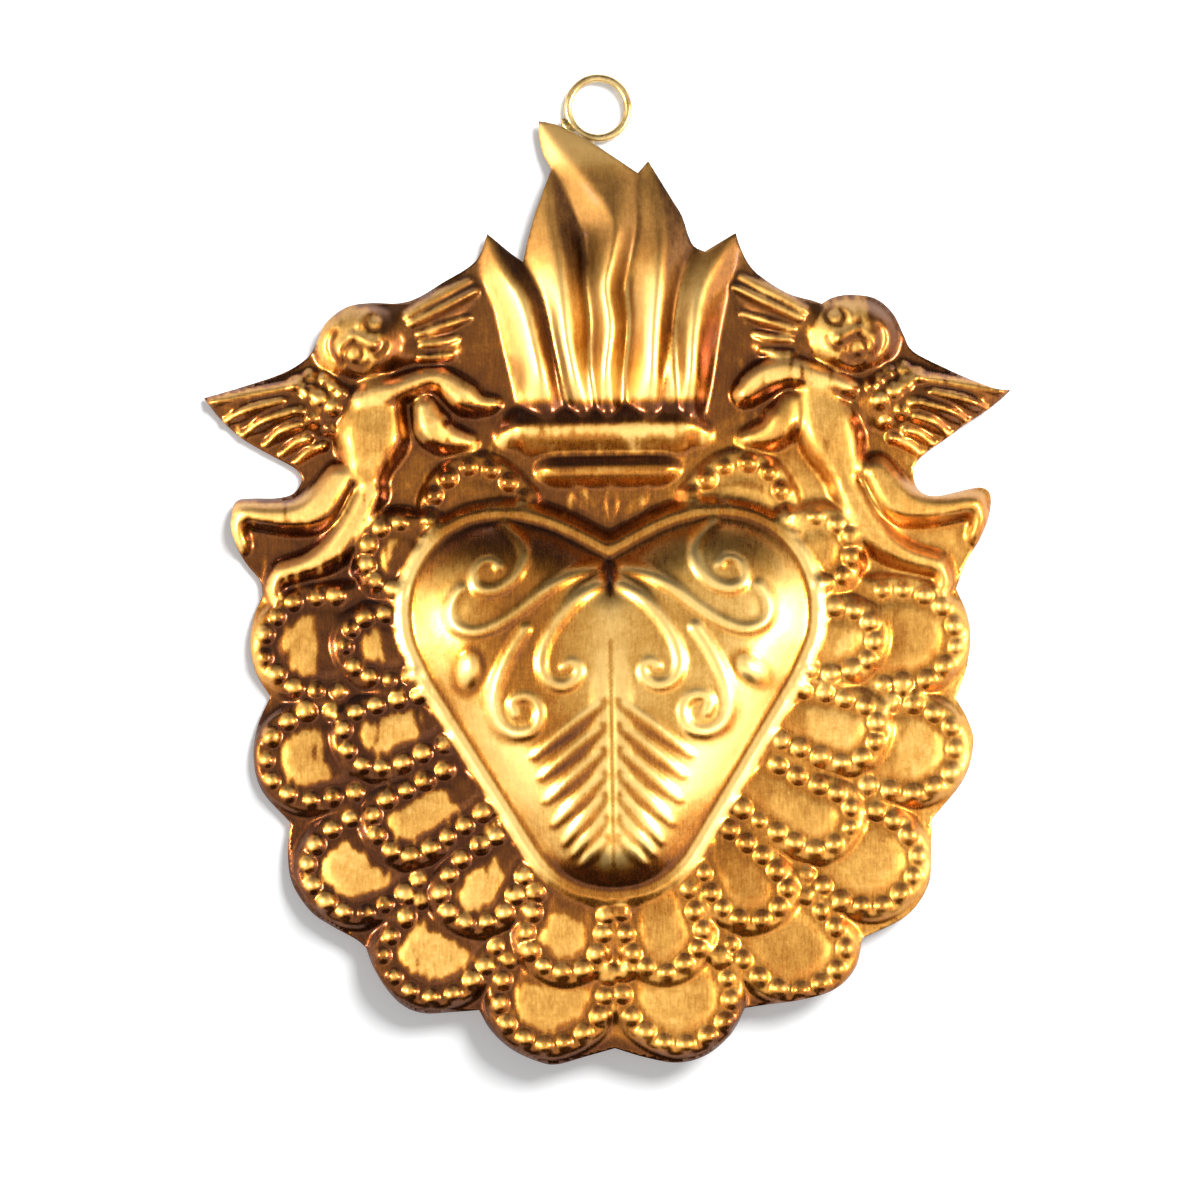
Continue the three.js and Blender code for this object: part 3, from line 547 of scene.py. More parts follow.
# Flames: rows of x, z, left width, right width, rise, from the bowl up to the tip
FLAMES = [
    [(-7, 23.4, 4.2, 3.2, 2.4), (-7.8, 28, 3.9, 3.6, 4.0), (-8.6, 32, 4.0, 3.8, 4.2),
     (-10, 37.3, 3.8, 4.2, 3.6), (-12.3, 41, 3.0, 3.8, 2.5), (-14.2, 45.7, 1.2, 1.4, 0.7)],
    [(-2.6, 23.4, 2.0, 2.4, 2.4), (-3.6, 27.5, 2.6, 3.0, 4.0), (-4.6, 32, 2.6, 4.0, 4.4),
     (-5, 36.5, 3.4, 4.6, 4.2), (-5.3, 42.3, 6.0, 3.4, 3.2), (-6.3, 47.5, 4.4, 3.2, 2.2),
     (-6.6, 53, 2.4, 2.0, 1.2)],
    [(0.5, 23.4, 2.0, 2.0, 2.6), (0.3, 28.5, 2.8, 2.6, 4.5), (0.9, 34, 3.2, 2.9, 5.0),
     (0.3, 39, 2.8, 3.0, 4.8), (1.1, 42.8, 3.2, 3.4, 4.6), (1.8, 46.7, 4.4, 3.8, 4.0),
     (0.4, 50, 4.8, 6.4, 3.1), (-2, 53, 4.0, 7.4, 2.4), (-4.8, 56, 3.2, 5.4, 1.8),
     (-7.2, 59.4, 1.6, 2.2, 0.9)],
    [(6, 23.4, 4.0, 2.2, 2.6), (6.1, 28, 4.2, 2.8, 4.6), (6.4, 34, 4.6, 3.4, 4.8), (7, 40.3, 5.0, 3.8, 4.3),
     (7.3, 46, 5.6, 4.4, 3.0), (6.8, 50.5, 5.6, 3.0, 2.0), (5.9, 54.4, 2.4, 1.4, 0.8)],
    [(10.4, 23.4, 2.6, 2.4, 2.6), (10.9, 28, 3.2, 2.6, 4.5), (11.3, 33.5, 3.6, 3.2, 4.5),
     (12, 37.7, 3.8, 3.6, 3.6), (13.4, 41, 3.4, 3.4, 2.5), (16.4, 45.3, 1.3, 1.3, 0.7)],
    [(8.2, 23.6, 0.9, 0.9, 2.6), (8.2, 27.5, 0.9, 0.9, 3.6), (8.3, 33, 0.5, 0.5, 3.0)],
]
FLAME_POWER, FLAME_CREST = 1.25, (0.3, 0.05)
BOWL_POWER, BOWL_BLEND = 1.7, 0.35
BAR_FOOT, BAR_TOP = (-0.98, -0.65), (0.25, -0.05)
BAND_RUB, BAND_TONE, LIP_BAR_RUB, LIP_BAR_TONE = 0.6, 0.52, 0.95, 0.8
# Heights between which the flames get dull, bright again at the tip, and free of soot and of the painted
# highlight on their feet
FLAME_DULL_FROM, FLAME_DULL_TO = 37.0, 46.0
FLAME_TIP, FLAME_TIP_FROM, FLAME_TIP_TO = 0.5, 52.0, 57.0
FLAME_SOOT_FROM, FLAME_SOOT_TO = 24.0, 25.6
FLAME_FOOT, FLAME_FOOT_FROM, FLAME_FOOT_TO = 1.2, 24.5, 33.0
# Rubbing of each flame's left and right flank, and how much of it the height takes from either; the right
# flanks are darker as painted shade
FLAME_LEFTS = (0.84, 0.94, 0.94, 0.94, 0.9, 0.94)
FLAME_DULLS = (0.44, 0.5, 0.56, 0.56, 0.6, 0.0)
FLAME_SHADES = (0.9, 0.9, 0.25, 0.75, 0.6, 0.7)
FLAME_RIGHTS = (0.12, 0.5, 0.5, 0.24, 0.28, 0.4)
for flame in zip(FLAMES, FLAME_LEFTS, FLAME_RIGHTS, FLAME_DULLS, FLAME_SHADES):
    tent(*flame)
bar(BOWL_BAND, BAND_RUB, BAND_TONE)
bar(BOWL_LIP, LIP_BAR_RUB, LIP_BAR_TONE)

# Heart: one half of its edge as curves, then the dome, the rim and the scrolls
HEART_HALF_WIDTH, HEART_WIDEST_Z = 24.8, -1.5
HEART_CLEFT_Z = 5.1
HEART_LOBE_X, HEART_LOBE_Z = 13.6, 10.1
HEART_FLANK_TOP, HEART_FLANK_FOOT = (22.3, -9.5), (9.0, -31.4)
HEART_TIP_Z = -36.0
HEART_MIDDLE_Z = -8.0
HEART_RISE, GROOVE_RISE = 8.4, 2.8
GROOVE_WIDTH, GROOVE_WEAR = 0.24, 0.75
RIM_CREST, RIM_WIDTH, RIM_SKIRT, RIM_RISE = 1.1, 1.15, 1.7, 3.5
ROLL_WIDTH, ROLL_POWER, ROLL_RISE = 8.0, 2.4, 3.4
CROWN_POWER = 2.2
EDGE_STEPS = 40
# Wear of the dome: its middle and its edge, the oval between them, then zones and round patches of change,
# each patch with its amount, x, z, half-width and half-height
DOME_WEAR, DOME_OVAL_FADE = (0.46, 0.78), (0.4, 0.95)
DOME_OVAL_Z, DOME_OVAL_HALF = -4.0, (22.0, 34.0)
DOME_ZONES = [
    (0.05, [("z", -8, -20)]),
    (0.2, [("x", -9, 1)]),
    (-0.06, [("x", 8, 20)]),
    (-0.1, [("z", -12, -17), ("off", 12, 7), ("off", 0, 3)]),
    # Painted highlight: the next zone brightens the lower flanks near the edge.
    (0.22, [("z", -11, -17), ("z", -29, -23), ("out", -8, -3)]),
    (-0.42, [("z", -19, -27), ("x", 1, 7), ("out", -5, -1.5)]),
]
DOME_PATCHES = [(-0.17, -15, -4, 6, 10), (-0.14, -20, 4, 5, 5), (-0.3, 18, 4, 4, 4)]
STRIPE_WIDTH, STRIPE_ZONES = 2.6, [(0.16, [("z", 6, 0), ("z", -27, -20)])]
# The dome's steep top, which looks up, is painted dark, a painted reflection of the dark overhead, most of
# all on the left; its steep foot is made darker too.
TOP_TONE, TOP_SHARE, TOP_SLOPE, TOP_RIGHT, TOP_TURN = 0.12, 0.85, (0.25, 0.95), 0.35, (-7, 3)
TIP_TONE, TIP_SLOPE = 0.2, (0.5, 0.9)
# The rim is painted brightest where it runs upright, on its flanks, and darker where it runs level: painted
# highlight and shade.
RIM_RUB_AND_LIGHT, RIM_UPRIGHT, RIM_FADE = (0.5, 1.0), (0.5, 0.9), (1.15, 0.9)


def bezier(p0, p1, p2, p3):
    """Points of one cubic curve, its last one left out."""
    t = np.linspace(0, 1, EDGE_STEPS, endpoint=False)[:, None]
    p0, p1, p2, p3 = (np.array(p, float) for p in (p0, p1, p2, p3))
    return (1 - t) ** 3 * p0 + 3 * t * (1 - t) ** 2 * p1 + 3 * t ** 2 * (1 - t) * p2 + t ** 3 * p3


def heart_edge():
    """Closed edge of the heart, from the cleft down the right side and up the left.

    The handles of its curves lie at set shares of each span.
    """
    w, wz, c = HEART_HALF_WIDTH, HEART_WIDEST_Z, HEART_CLEFT_Z
    lx, lz, tip = HEART_LOBE_X, HEART_LOBE_Z, HEART_TIP_Z
    (ax, az), (bx, bz) = HEART_FLANK_TOP, HEART_FLANK_FOOT
    half = np.vstack([
        bezier((0, c), (0.3 * lx, lerp(c, lz, 0.42)), (0.58 * lx, lz), (lx, lz)),
        bezier((lx, lz), (lerp(lx, w, 0.6), lz), (w, lerp(wz, lz, 0.55)), (w, wz)),
        bezier((w, wz), (w, lerp(wz, az, 0.45)), (lerp(w, ax, 0.45), lerp(wz, az, 0.6)), (ax, az)),
        bezier((ax, az), lerp(np.array((ax, az)), np.array((bx, bz)), 0.33),
               lerp(np.array((ax, az)), np.array((bx, bz)), 0.67), (bx, bz)),
        bezier((bx, bz), (0.74 * bx, lerp(bz, tip, 0.7)), (0.42 * bx, tip), (0, tip)),
        [(0, tip)],
    ])
    other = half[-2:0:-1] * (-1, 1)
    return np.vstack([half, other]) + (AXIS, 0)


def dome_wear_and_light(win, outward, slope):
    """Brightness of the heart's dome, with a painted highlight and painted shade, whose slope is taken
    upright.
    """
    here = {name: field[win] for name, field in plate.items()}
    here["out"] = outward
    x, z = here["x"], here["z"]
    oval = np.hypot((x - AXIS) / DOME_OVAL_HALF[0], (z - DOME_OVAL_Z) / DOME_OVAL_HALF[1])
    wear_and_light = lerp(*DOME_WEAR, ease(*DOME_OVAL_FADE, oval)) + zones(DOME_ZONES, here)
    for amount, patch_x, patch_z, wide, tall in DOME_PATCHES:
        wear_and_light += amount * np.exp(-((x - patch_x) / wide) ** 2 - ((z - patch_z) / tall) ** 2)
    wear_and_light += np.exp(-((x - AXIS) / STRIPE_WIDTH) ** 2) * zones(STRIPE_ZONES, here)
    # Painted reflection: the steep top is darkened.
    top = TOP_SHARE * ease(*TOP_SLOPE, -slope) * lerp(1.0, TOP_RIGHT, ease(*TOP_TURN, x))
    return lerp(lerp(wear_and_light, TOP_TONE, top), TIP_TONE, ease(*TIP_SLOPE, slope))


def heart():
    """Domed heart with its rim."""
    edge = heart_edge()
    win = window(edge, 2 * RIM_WIDTH + 1)
    outward = beyond(edge, win)
    around = np.arctan2(edge[:, 1] - HEART_MIDDLE_Z, edge[:, 0] - AXIS)
    order = np.argsort(around)
    far = np.hypot(edge[:, 0] - AXIS, edge[:, 1] - HEART_MIDDLE_Z)[order]
    angle = np.arctan2(Z[win] - HEART_MIDDLE_Z, X[win] - AXIS)
    reach = np.interp(angle, around[order], far, period=2 * math.pi)
    share = np.hypot(X[win] - AXIS, Z[win] - HEART_MIDDLE_Z) / reach
    roll = 1 - (1 - np.clip(-outward / ROLL_WIDTH, 0, 1)) ** ROLL_POWER
    crown = HEART_RISE - GROOVE_RISE - ROLL_RISE
    inner = GROOVE_RISE + ROLL_RISE * roll + crown * dome(share, CROWN_POWER)
    away = (outward - RIM_CREST) / np.where(outward > RIM_CREST, RIM_SKIRT, RIM_WIDTH)
    foot = np.where(away < 0, GROOVE_RISE, 0)
    rim = foot + (RIM_RISE - foot) * dome(away)
    slope, _ = np.gradient(inner, PIXEL)
    _, upright = np.gradient(outward, PIXEL)
    rim_rub_and_light = lerp(*RIM_RUB_AND_LIGHT, ease(*RIM_UPRIGHT, np.abs(upright))) * ease(*RIM_FADE, away)
    wear_and_light = np.where(outward < 0, dome_wear_and_light(win, outward, slope), rim_rub_and_light)
    wear_and_light *= 1 - GROOVE_WEAR * np.exp(-(outward / GROOVE_WIDTH) ** 2)
    press(win, np.where(outward < 0, inner, rim), wear_and_light, blend=1.0)
    heart_outward[win] = outward


# How far each place lies outside the edge of the heart's dome
heart_outward = np.full_like(relief, RIGHT)
heart()

# The press rounds the broad forms before the fine ones are struck.
FORM_SOFTNESS = 0.45
relief = blur(relief, FORM_SOFTNESS)
for rows in INNER_ROWS + OUTER_ROWS:
    scallop_beads(rows)
    scallop_beads(mirror(rows))
cherub_detail(same)
cherub_detail(mirror)
for rows in FAN_LEAVES:
    line(rows, FAN_RUB)

# Scrolls on the heart, left half: rows of points along each raised line
SCROLLS = [
    [(-12.6, 9.6), (-10.8, 7.7), (-10.2, 5.4), (-11.2, 3.1), (-13.1, 1.6), (-15, 1.3), (-16.3, 2.1),
     (-16.4, 3.6), (-15.5, 4.9), (-14, 5.1), (-13.3, 4.2)],
    [(-1.4, 4.1), (-4.6, 3.1), (-7.7, 1.2), (-10.8, -1.2), (-13.5, -2.9), (-16.2, -3.8), (-18.4, -3.3),
     (-19.4, -1.8), (-19.1, 0.2), (-18.1, 1.6)],
    [(-1, 2.1), (-3.5, 0.4), (-6.2, -2.7), (-7.7, -5.4), (-8.2, -8), (-7.3, -10), (-5.4, -10.6),
     (-3.8, -9.6), (-3.6, -8.3), (-4.5, -7.6), (-5.4, -8.2)],
    [(-10.2, -3.5), (-12.3, -6.9), (-13.8, -10.4), (-14.2, -13.1), (-13.5, -15.4), (-11.5, -16.5),
     (-9.2, -15.9), (-8.4, -13.8), (-9.2, -12.2), (-10.8, -11.8), (-12, -12.7), (-11.5, -14)],
]
SCROLL_WIDTH, SCROLL_RISE, SCROLL_FADE, SCROLL_RUB = 1.1, 0.6, 0.3, 0.35
# Leaflets lie like shingles: each row of points runs from the midrib down and out.
LEAFLETS = [
    [(-1.4, -12.6), (-5.4, -15.6), (-9.3, -18.9)], [(-1.5, -15.7), (-5, -18.5), (-8.4, -21.5)],
    [(-1.5, -18.7), (-4.8, -21.6), (-7.9, -24.5)], [(-1.4, -21.7), (-4.3, -24.5), (-7, -27.4)],
    [(-1.4, -24.5), (-3.7, -27), (-5.8, -29.7)], [(-1.3, -27.2), (-3.1, -29.1), (-4.7, -31.2)],
    [(-1.2, -29.6), (-2.5, -31), (-3.6, -32.5)],
]
LEAFLET_LOW, LEAFLET_HIGH, LEAFLET_RISE = 1.8, 0.4, 0.46
LEAFLET_TAPER, LEAFLET_RUB, LEAFLET_SHADE = (0.8, 1.0, 0.6), 0.3, 0.5
MIDRIB = [(-0.6, -7, 1.2, 0.0), (-0.8, -12, 1.7, 0.3), (-0.8, -20, 1.7, 0.34), (-0.8, -29, 1.5, 0.34),
          (-0.7, -33.6, 0.9, 0.1)]
NOTCH = [(AXIS, 4.6, 0.9, -0.3), (AXIS, 3, 0.8, -0.25), (AXIS, 0.8, 0.5, -0.05)]
CENTRE_LINE = [(AXIS, -5, 0.35, -0.02), (AXIS, -12, 0.4, -0.12), (AXIS, -30, 0.4, -0.12),
               (AXIS, -33, 0.35, -0.04)]
MIDRIB_RUB, NOTCH_RUB, CENTRE_RUB = 0.12, 0.5, 0.35
# Seeds: x, z, half-width, half-length, turn in degrees
SEEDS = [(-17.3, -8.6, 1.6, 2.5, -12), (17.9, -8.9, 1.5, 2.5, 48)]
SEED_RISE, SEED_RUB, SEED_SHADE, SEED_REACH = 0.7, 0.5, 0.3, 1.7
SEED_RING_FROM, SEED_RING_TO = (0.85, 1.05), (1.6, 1.1)
# Patina stays beside the scrolls, but not near the middle line; the low side of each leaflet is darkened as
# painted shade.
SHADE_WIDTH, SHADE, SHADE_CLEAR = 2.4, 0.3, (2.0, 6.0)
DUSK_FROM, DUSK_TO = (0.1, 0.5), (1.1, 0.7)
ORNAMENT_SOFTNESS = 0.2
ornament = np.zeros_like(relief)
ornament_rub = np.zeros_like(relief)
ornament_shade = np.zeros_like(relief)


def strike(rows, low_side, rub, shade=0.0):
    """Raises the heart's ornament; each row is x, z, low-side width, other width, rise."""
    win, share, side, rise = profile(rows, low_side)
    shape = dome(share)
    dusk = shade * ease(*DUSK_FROM, share) * ease(*DUSK_TO, share) * (side == low_side)
    raise_ornament(win, rise * shape, rub * shape, dusk)


def raise_ornament(win, height, rub, shade):
    """Keeps the higher, the more rubbed and the more shaded at each place."""
    for field, value in ((ornament, height), (ornament_rub, rub), (ornament_shade, shade)):
        field[win] = np.maximum(field[win], value)


def heart_ornament(turn, low_side):
    """Scrolls, leaflets and half of the midrib on one half of the heart."""
    for points in SCROLLS:
        path = smooth_path(turn(points))
        win = window(path, SHADE_WIDTH)
        gap, _, _ = across(path, win)
        shade = SHADE * ease(*SHADE_CLEAR, plate["off"][win]) * ease(SHADE_WIDTH, SCROLL_WIDTH, gap)
        rub_and_light[win] = np.minimum(rub_and_light[win], 1 - shade)
        fades = [1 - SCROLL_FADE * k / (len(points) - 1) for k in range(len(points))]
        strike(turn([(*point, SCROLL_WIDTH * f, SCROLL_WIDTH * f, SCROLL_RISE * f)
                     for point, f in zip(points, fades)]), low_side, SCROLL_RUB)
    for points in LEAFLETS:
        strike(turn([(*point, LEAFLET_LOW * f, LEAFLET_HIGH * f, LEAFLET_RISE * f)
                     for point, f in zip(points, LEAFLET_TAPER)]), low_side, LEAFLET_RUB, LEAFLET_SHADE)
    strike(turn([(x, z, w, w, r) for x, z, w, r in MIDRIB]), low_side, MIDRIB_RUB)


def heart_seed(x, z, half_width, half_length, degrees):
    """One raised seed beside the scrolls."""
    win = window(np.array([[x, z]]), SEED_REACH * half_length)
    c, s = math.cos(math.radians(degrees)), math.sin(math.radians(degrees))
    u, v = (X[win] - x) * c + (Z[win] - z) * s, (Z[win] - z) * c - (X[win] - x) * s
    share = np.hypot(u / half_width, v / half_length)
    shade = SEED_SHADE * ease(*SEED_RING_FROM, share) * ease(*SEED_RING_TO, share)
    raise_ornament(win, SEED_RISE * dome(share), SEED_RUB * dome(share), shade)


heart_ornament(same, 1)
heart_ornament(mirror, -1)
for seed in SEEDS:
    heart_seed(*seed)
ornament = blur(ornament, ORNAMENT_SOFTNESS)
relief += ornament
fall_z, fall_x = np.gradient(ornament, PIXEL)
# Painted shade: the ornament's slopes that fall towards the lower right are darkened.
UNDER_X, UNDER_Z, UNDER_FROM, UNDER_TO, UNDER_DARK = 0.4, -0.92, 0.08, 0.6, 0.4
under = ease(UNDER_FROM, UNDER_TO, -(fall_x * UNDER_X + fall_z * UNDER_Z))
rub_and_light = np.clip(rub_and_light + ornament_rub * (1 - under) - ornament_shade, 0, 1) * (1 - UNDER_DARK * under)
line(NOTCH, NOTCH_RUB)
line(CENTRE_LINE, CENTRE_RUB)

# The press leaves every form soft, and handling leaves the sheet a little uneven.
PRESS_SOFTNESS = 0.14
BACK_SOFTNESS, BACK_LIMIT = 0.42, 0.6 * GAUGE
PROUD_GRAIN = 0.8
UNEVEN_GRAIN, UNEVEN = 3.0, 0.035
relief = blur(relief, PRESS_SOFTNESS)
relief += wander(UNEVEN_GRAIN, UNEVEN) * ease(FLANGE, PILLOW, depth)
relief = np.clip(relief, 0, None)
relief_back = np.minimum(blur(relief, BACK_SOFTNESS), relief + BACK_LIMIT)
proud = relief - blur(relief, PROUD_GRAIN)

# Painted shade: as if lit from the upper left, the steep lower right of every small form is kept dark in
# patina colour.
SHADED_X, SHADED_Z, SHADED_FROM, SHADED_TO = 0.62, -0.78, 0.12, 0.5
SHADED_PATINA, SHADED_HOLD = 0.8, 0.8
STROKE_GRAIN, STROKE_TALL, STROKE_SPREAD = 0.18, 5.0, 0.2
PATCH_GRAIN, PATCH_SPREAD = 1.1, 0.13
POLISH, RAGGED_FADE = (0.35, 0.65), (1.2, 0.95)
FINISH_SOFTNESS = 0.1
# Painted highlight: the cut edge is painted bright on the right and at one place on the left; the lowest edge
# is made darker.
GLINT = 0.9
GLINT_ZONES = [
    (0.35, [("depth", 2.4, 0.8), ("x", 24, 38), ("z", 2, -6)]),
    (0.63, [("depth", 2.4, 0.8), ("x", -36, -41), ("z", -14, -8), ("z", 4, -1)]),
]
DARK_ZONES = [(0.7, [("depth", 2.0, 0.6), ("z", -44, -51)])]
rise_z, rise_x = np.gradient(relief, PIXEL)
painted_shade = ease(SHADED_FROM, SHADED_TO, -(rise_x * SHADED_X + rise_z * SHADED_Z))
ragged = wander(STROKE_GRAIN, STROKE_SPREAD, STROKE_TALL) + wander(PATCH_GRAIN, PATCH_SPREAD)
# Where bare brass shows: the rubbing, less the painted shade on the lower-right slopes.
polished_and_shaded = ease(*POLISH, rub_and_light + ragged * ease(*RAGGED_FADE, rub_and_light) - SHADED_HOLD * painted_shade)
sharp = lerp(patina * lerp(1.0, SHADED_PATINA, painted_shade), bare, polished_and_shaded)
sharp = lerp(sharp, GLINT, zones(GLINT_ZONES, plate))
sharp *= 1 - zones(DARK_ZONES, plate)
finish_and_light = np.clip(blur(lerp(sharp, rub_and_light, satin), FINISH_SOFTNESS), 0, 1)
# Grey laid on the ledges that look up: part dust, part a painted dull reflection of the dark overhead.
UPWARD_GREY_FROM, UPWARD_GREY_TO, UPWARD_GREY, UPWARD_GREY_SATIN = 0.35, 1.1, 0.16, 0.4
dust_and_dull_reflection = UPWARD_GREY * ease(UPWARD_GREY_FROM, UPWARD_GREY_TO, -rise_z) * lerp(1.0, UPWARD_GREY_SATIN, satin)


# Sheet mesh

def sample(field, points):
    """Value of a raster at plate points."""
    fx = np.clip((points[:, 0] - grid_x[0]) / PIXEL, 0, len(grid_x) - 1.001)
    fz = np.clip((points[:, 1] - grid_z[0]) / PIXEL, 0, len(grid_z) - 1.001)
    i, j = fx.astype(int), fz.astype(int)
    u, v = fx - i, fz - j
    return ((field[j, i] * (1 - u) + field[j, i + 1] * u) * (1 - v)
            + (field[j + 1, i] * (1 - u) + field[j + 1, i + 1] * u) * v)


# Guide lines of the facets, by their distance from the dome's edge, and how far a point may miss its line.
# The lattice keeps clear of the lines and of the cut edge by a share of its pitch.
RIM_GUIDES, GUIDE_SLACK, GUIDE_SHARE = (-0.6, -0.2, 0.15, 0.5, 1.1, 1.7, 2.3), 0.05, 0.5
EDGE_SHARE, MERGE = 0.55, 1e-5
# The back's patina is the same all over.
BACK_FINISH = 0.35


def rim_guides(pitch):
    """Points along the heart's rim and groove, so that the facets follow them."""
    edge = heart_edge()
    closed = np.vstack([edge, edge[:1]])
    spaced = along(closed, pitch)[:-1]
    run = np.roll(spaced, -1, 0) - np.roll(spaced, 1, 0)
    normal = np.stack([-run[:, 1], run[:, 0]], 1) / np.hypot(run[:, 0], run[:, 1])[:, None]
    rows = []
    for offset in RIM_GUIDES:
        moved = spaced + normal * offset
        rows.append(moved[np.abs(sample(heart_outward, moved) - offset) < GUIDE_SLACK])
    return np.vstack(rows)


def triangulate(pitch, guided=False):
    """Triangles inside the cut edge: the edge's own points first, then an even lattice."""
    lattice = []
    rows = np.arange(OUTLINE[:, 1].min(), OUTLINE[:, 1].max(), pitch * math.sqrt(0.75))
    for k, z in enumerate(rows):
        xs = np.arange(OUTLINE[:, 0].min(), OUTLINE[:, 0].max(), pitch) + (k % 2) * pitch / 2
        lattice.append(np.stack([xs, np.full_like(xs, z)], 1))
    lattice = np.vstack(lattice)
    lattice = lattice[sample(depth, lattice) > max(EDGE_CLEAR, EDGE_SHARE * pitch)]
    if guided:
        outward = sample(heart_outward, lattice)
        clear = np.min([np.abs(outward - offset) for offset in RIM_GUIDES], 0)
        lattice = np.vstack([rim_guides(pitch), lattice[clear > GUIDE_SHARE * pitch]])
    count = len(OUTLINE)
    points = np.vstack([OUTLINE, lattice])
    ring = [(k, (k + 1) % count) for k in range(count)]
    verts, _, faces, _, _, _ = delaunay_2d_cdt([Vector(p) for p in points], ring, [], 1, MERGE)
    if len(verts) != len(points):
        raise RuntimeError("the cut edge crosses itself")
    faces = np.array(faces, int)
    a, b, c = (points[faces[:, k]] for k in range(3))
    turn = (b[:, 0] - a[:, 0]) * (c[:, 1] - a[:, 1]) - (b[:, 1] - a[:, 1]) * (c[:, 0] - a[:, 0])
    faces[turn < 0] = faces[turn < 0][:, ::-1]
    return points, faces


def place(points, out):
    """Row-frame metres of plate points at a distance out of the wall."""
    return np.stack([points[:, 0] + PLATE_X, -out, points[:, 1] + PLATE_Z], 1) * MM


def add_mesh(name, verts, faces, material, smooth=True):
    mesh = bpy.data.meshes.new(name)
    mesh.from_pydata([tuple(v) for v in verts], [], [tuple(int(i) for i in f) for f in faces])
    mesh.polygons.foreach_set("use_smooth", [smooth] * len(mesh.polygons))
    mesh.materials.append(material)
    mesh.update()
    obj = bpy.data.objects.new(name, mesh)
    bpy.context.scene.collection.objects.link(obj)
    return obj


def add_attribute(obj, name, values):
    layer = obj.data.attributes.new(name, "FLOAT", "POINT")
    layer.data.foreach_set("value", np.asarray(values, np.float32))


def add_sheet(material):
    """The pressed sheet as one closed shell: a fine face, a coarser back and the cut edge between."""
    face_points, face_tris = triangulate(FRONT_PITCH, True)
    back_points, back_tris = triangulate(BACK_PITCH)
    count, shift = len(OUTLINE), len(face_points)
    front = place(face_points, sample(relief, face_points) + GAUGE)
    back = place(back_points, sample(relief_back, back_points))
    wall = []
    for k in range(count):
        n = (k + 1) % count
        wall += [(k, n, n + shift), (k, n + shift, k + shift)]
    faces = np.vstack([face_tris, back_tris[:, ::-1] + shift, np.array(wall)])
    sheet = add_mesh("sheet", np.vstack([front, back]), faces, material)
    both = np.vstack([face_points, back_points])
    on_face = np.arange(len(both)) < shift
    add_attribute(sheet, "finish_and_light", np.where(on_face, sample(finish_and_light, both), BACK_FINISH))
    add_attribute(sheet, "satin", np.where(on_face, sample(satin, both), 0.0))
    add_attribute(sheet, "dust_and_dull_reflection", np.where(on_face, sample(dust_and_dull_reflection, both), 0.0))
    add_attribute(sheet, "proud", np.where(on_face, sample(proud, both), -sample(proud, both)))
    return sheet


# Materials

class Nodes:
    """Short calls for building one node tree."""

    def __init__(self, tree):
        self.tree = tree

    def add(self, kind, **settings):
        made = self.tree.nodes.new(kind)
        for key, value in settings.items():
            setattr(made, key, value)
        return made

    def feed(self, socket, value):
        if isinstance(value, bpy.types.NodeSocket):
            self.tree.links.new(value, socket)
        else:
            socket.default_value = value

    def attribute(self, name):
        return self.add("ShaderNodeAttribute", attribute_name=name).outputs["Fac"]

    def axis(self, coords, name):
        made = self.add("ShaderNodeSeparateXYZ")
        self.feed(made.inputs[0], coords)
        return made.outputs[name]

    def math(self, operation, a, b, clamp=False):
        made = self.add("ShaderNodeMath", operation=operation, use_clamp=clamp)
        self.feed(made.inputs[0], a)
        self.feed(made.inputs[1], b)
        return made.outputs[0]

    def ramp(self, value, low, high, out_low=0.0, out_high=1.0):
        made = self.add("ShaderNodeMapRange", interpolation_type="SMOOTHSTEP")
        for socket, item in zip(made.inputs, (value, low, high, out_low, out_high)):
            self.feed(socket, item)
        return made.outputs[0]

    def mix(self, share, a, b):
        made = self.add("ShaderNodeMix", data_type="RGBA")
        self.feed(made.inputs["Factor"], share)
        for name, item in (("A", a), ("B", b)):
            socket = [s for s in made.inputs if s.name == name and s.type == "RGBA"][0]
            self.feed(socket, (*item, 1) if isinstance(item, tuple) else item)
        return [s for s in made.outputs if s.type == "RGBA"][0]

    def spectrum(self, value, stops):
        made = self.add("ShaderNodeValToRGB")
        elements = made.color_ramp.elements
        while len(elements) < len(stops):
            elements.new(0.5)
        for element, (at, colour) in zip(elements, stops):
            element.position = at
            element.color = (*colour, 1)
        self.feed(made.inputs[0], value)
        return made.outputs["Color"]

    def noise(self, coords, scale, detail, rough, stretch=(1, 1, 1)):
        mapped = self.add("ShaderNodeMapping")
        self.feed(mapped.inputs["Vector"], coords)
        mapped.inputs["Scale"].default_value = stretch
        made = self.add("ShaderNodeTexNoise")
        self.feed(made.inputs["Vector"], mapped.outputs["Vector"])
        made.inputs["Scale"].default_value = scale
        made.inputs["Detail"].default_value = detail
        made.inputs["Roughness"].default_value = rough
        return made.outputs["Fac"]

    def bump(self, height, distance, strength, normal=None):
        made = self.add("ShaderNodeBump")
        made.inputs["Distance"].default_value = distance
        made.inputs["Strength"].default_value = strength
        self.feed(made.inputs["Height"], height)
        if normal is not None:
            self.feed(made.inputs["Normal"], normal)
        return made.outputs["Normal"]


def new_material(name, metallic=0.0):
    material = bpy.data.materials.new(name)
    material.use_nodes = True
    nodes = Nodes(material.node_tree)
    shader = material.node_tree.nodes["Principled BSDF"]
    shader.inputs["Metallic"].default_value = metallic
    coords = nodes.add("ShaderNodeTexCoord").outputs["Object"]
    return material, nodes, shader, coords


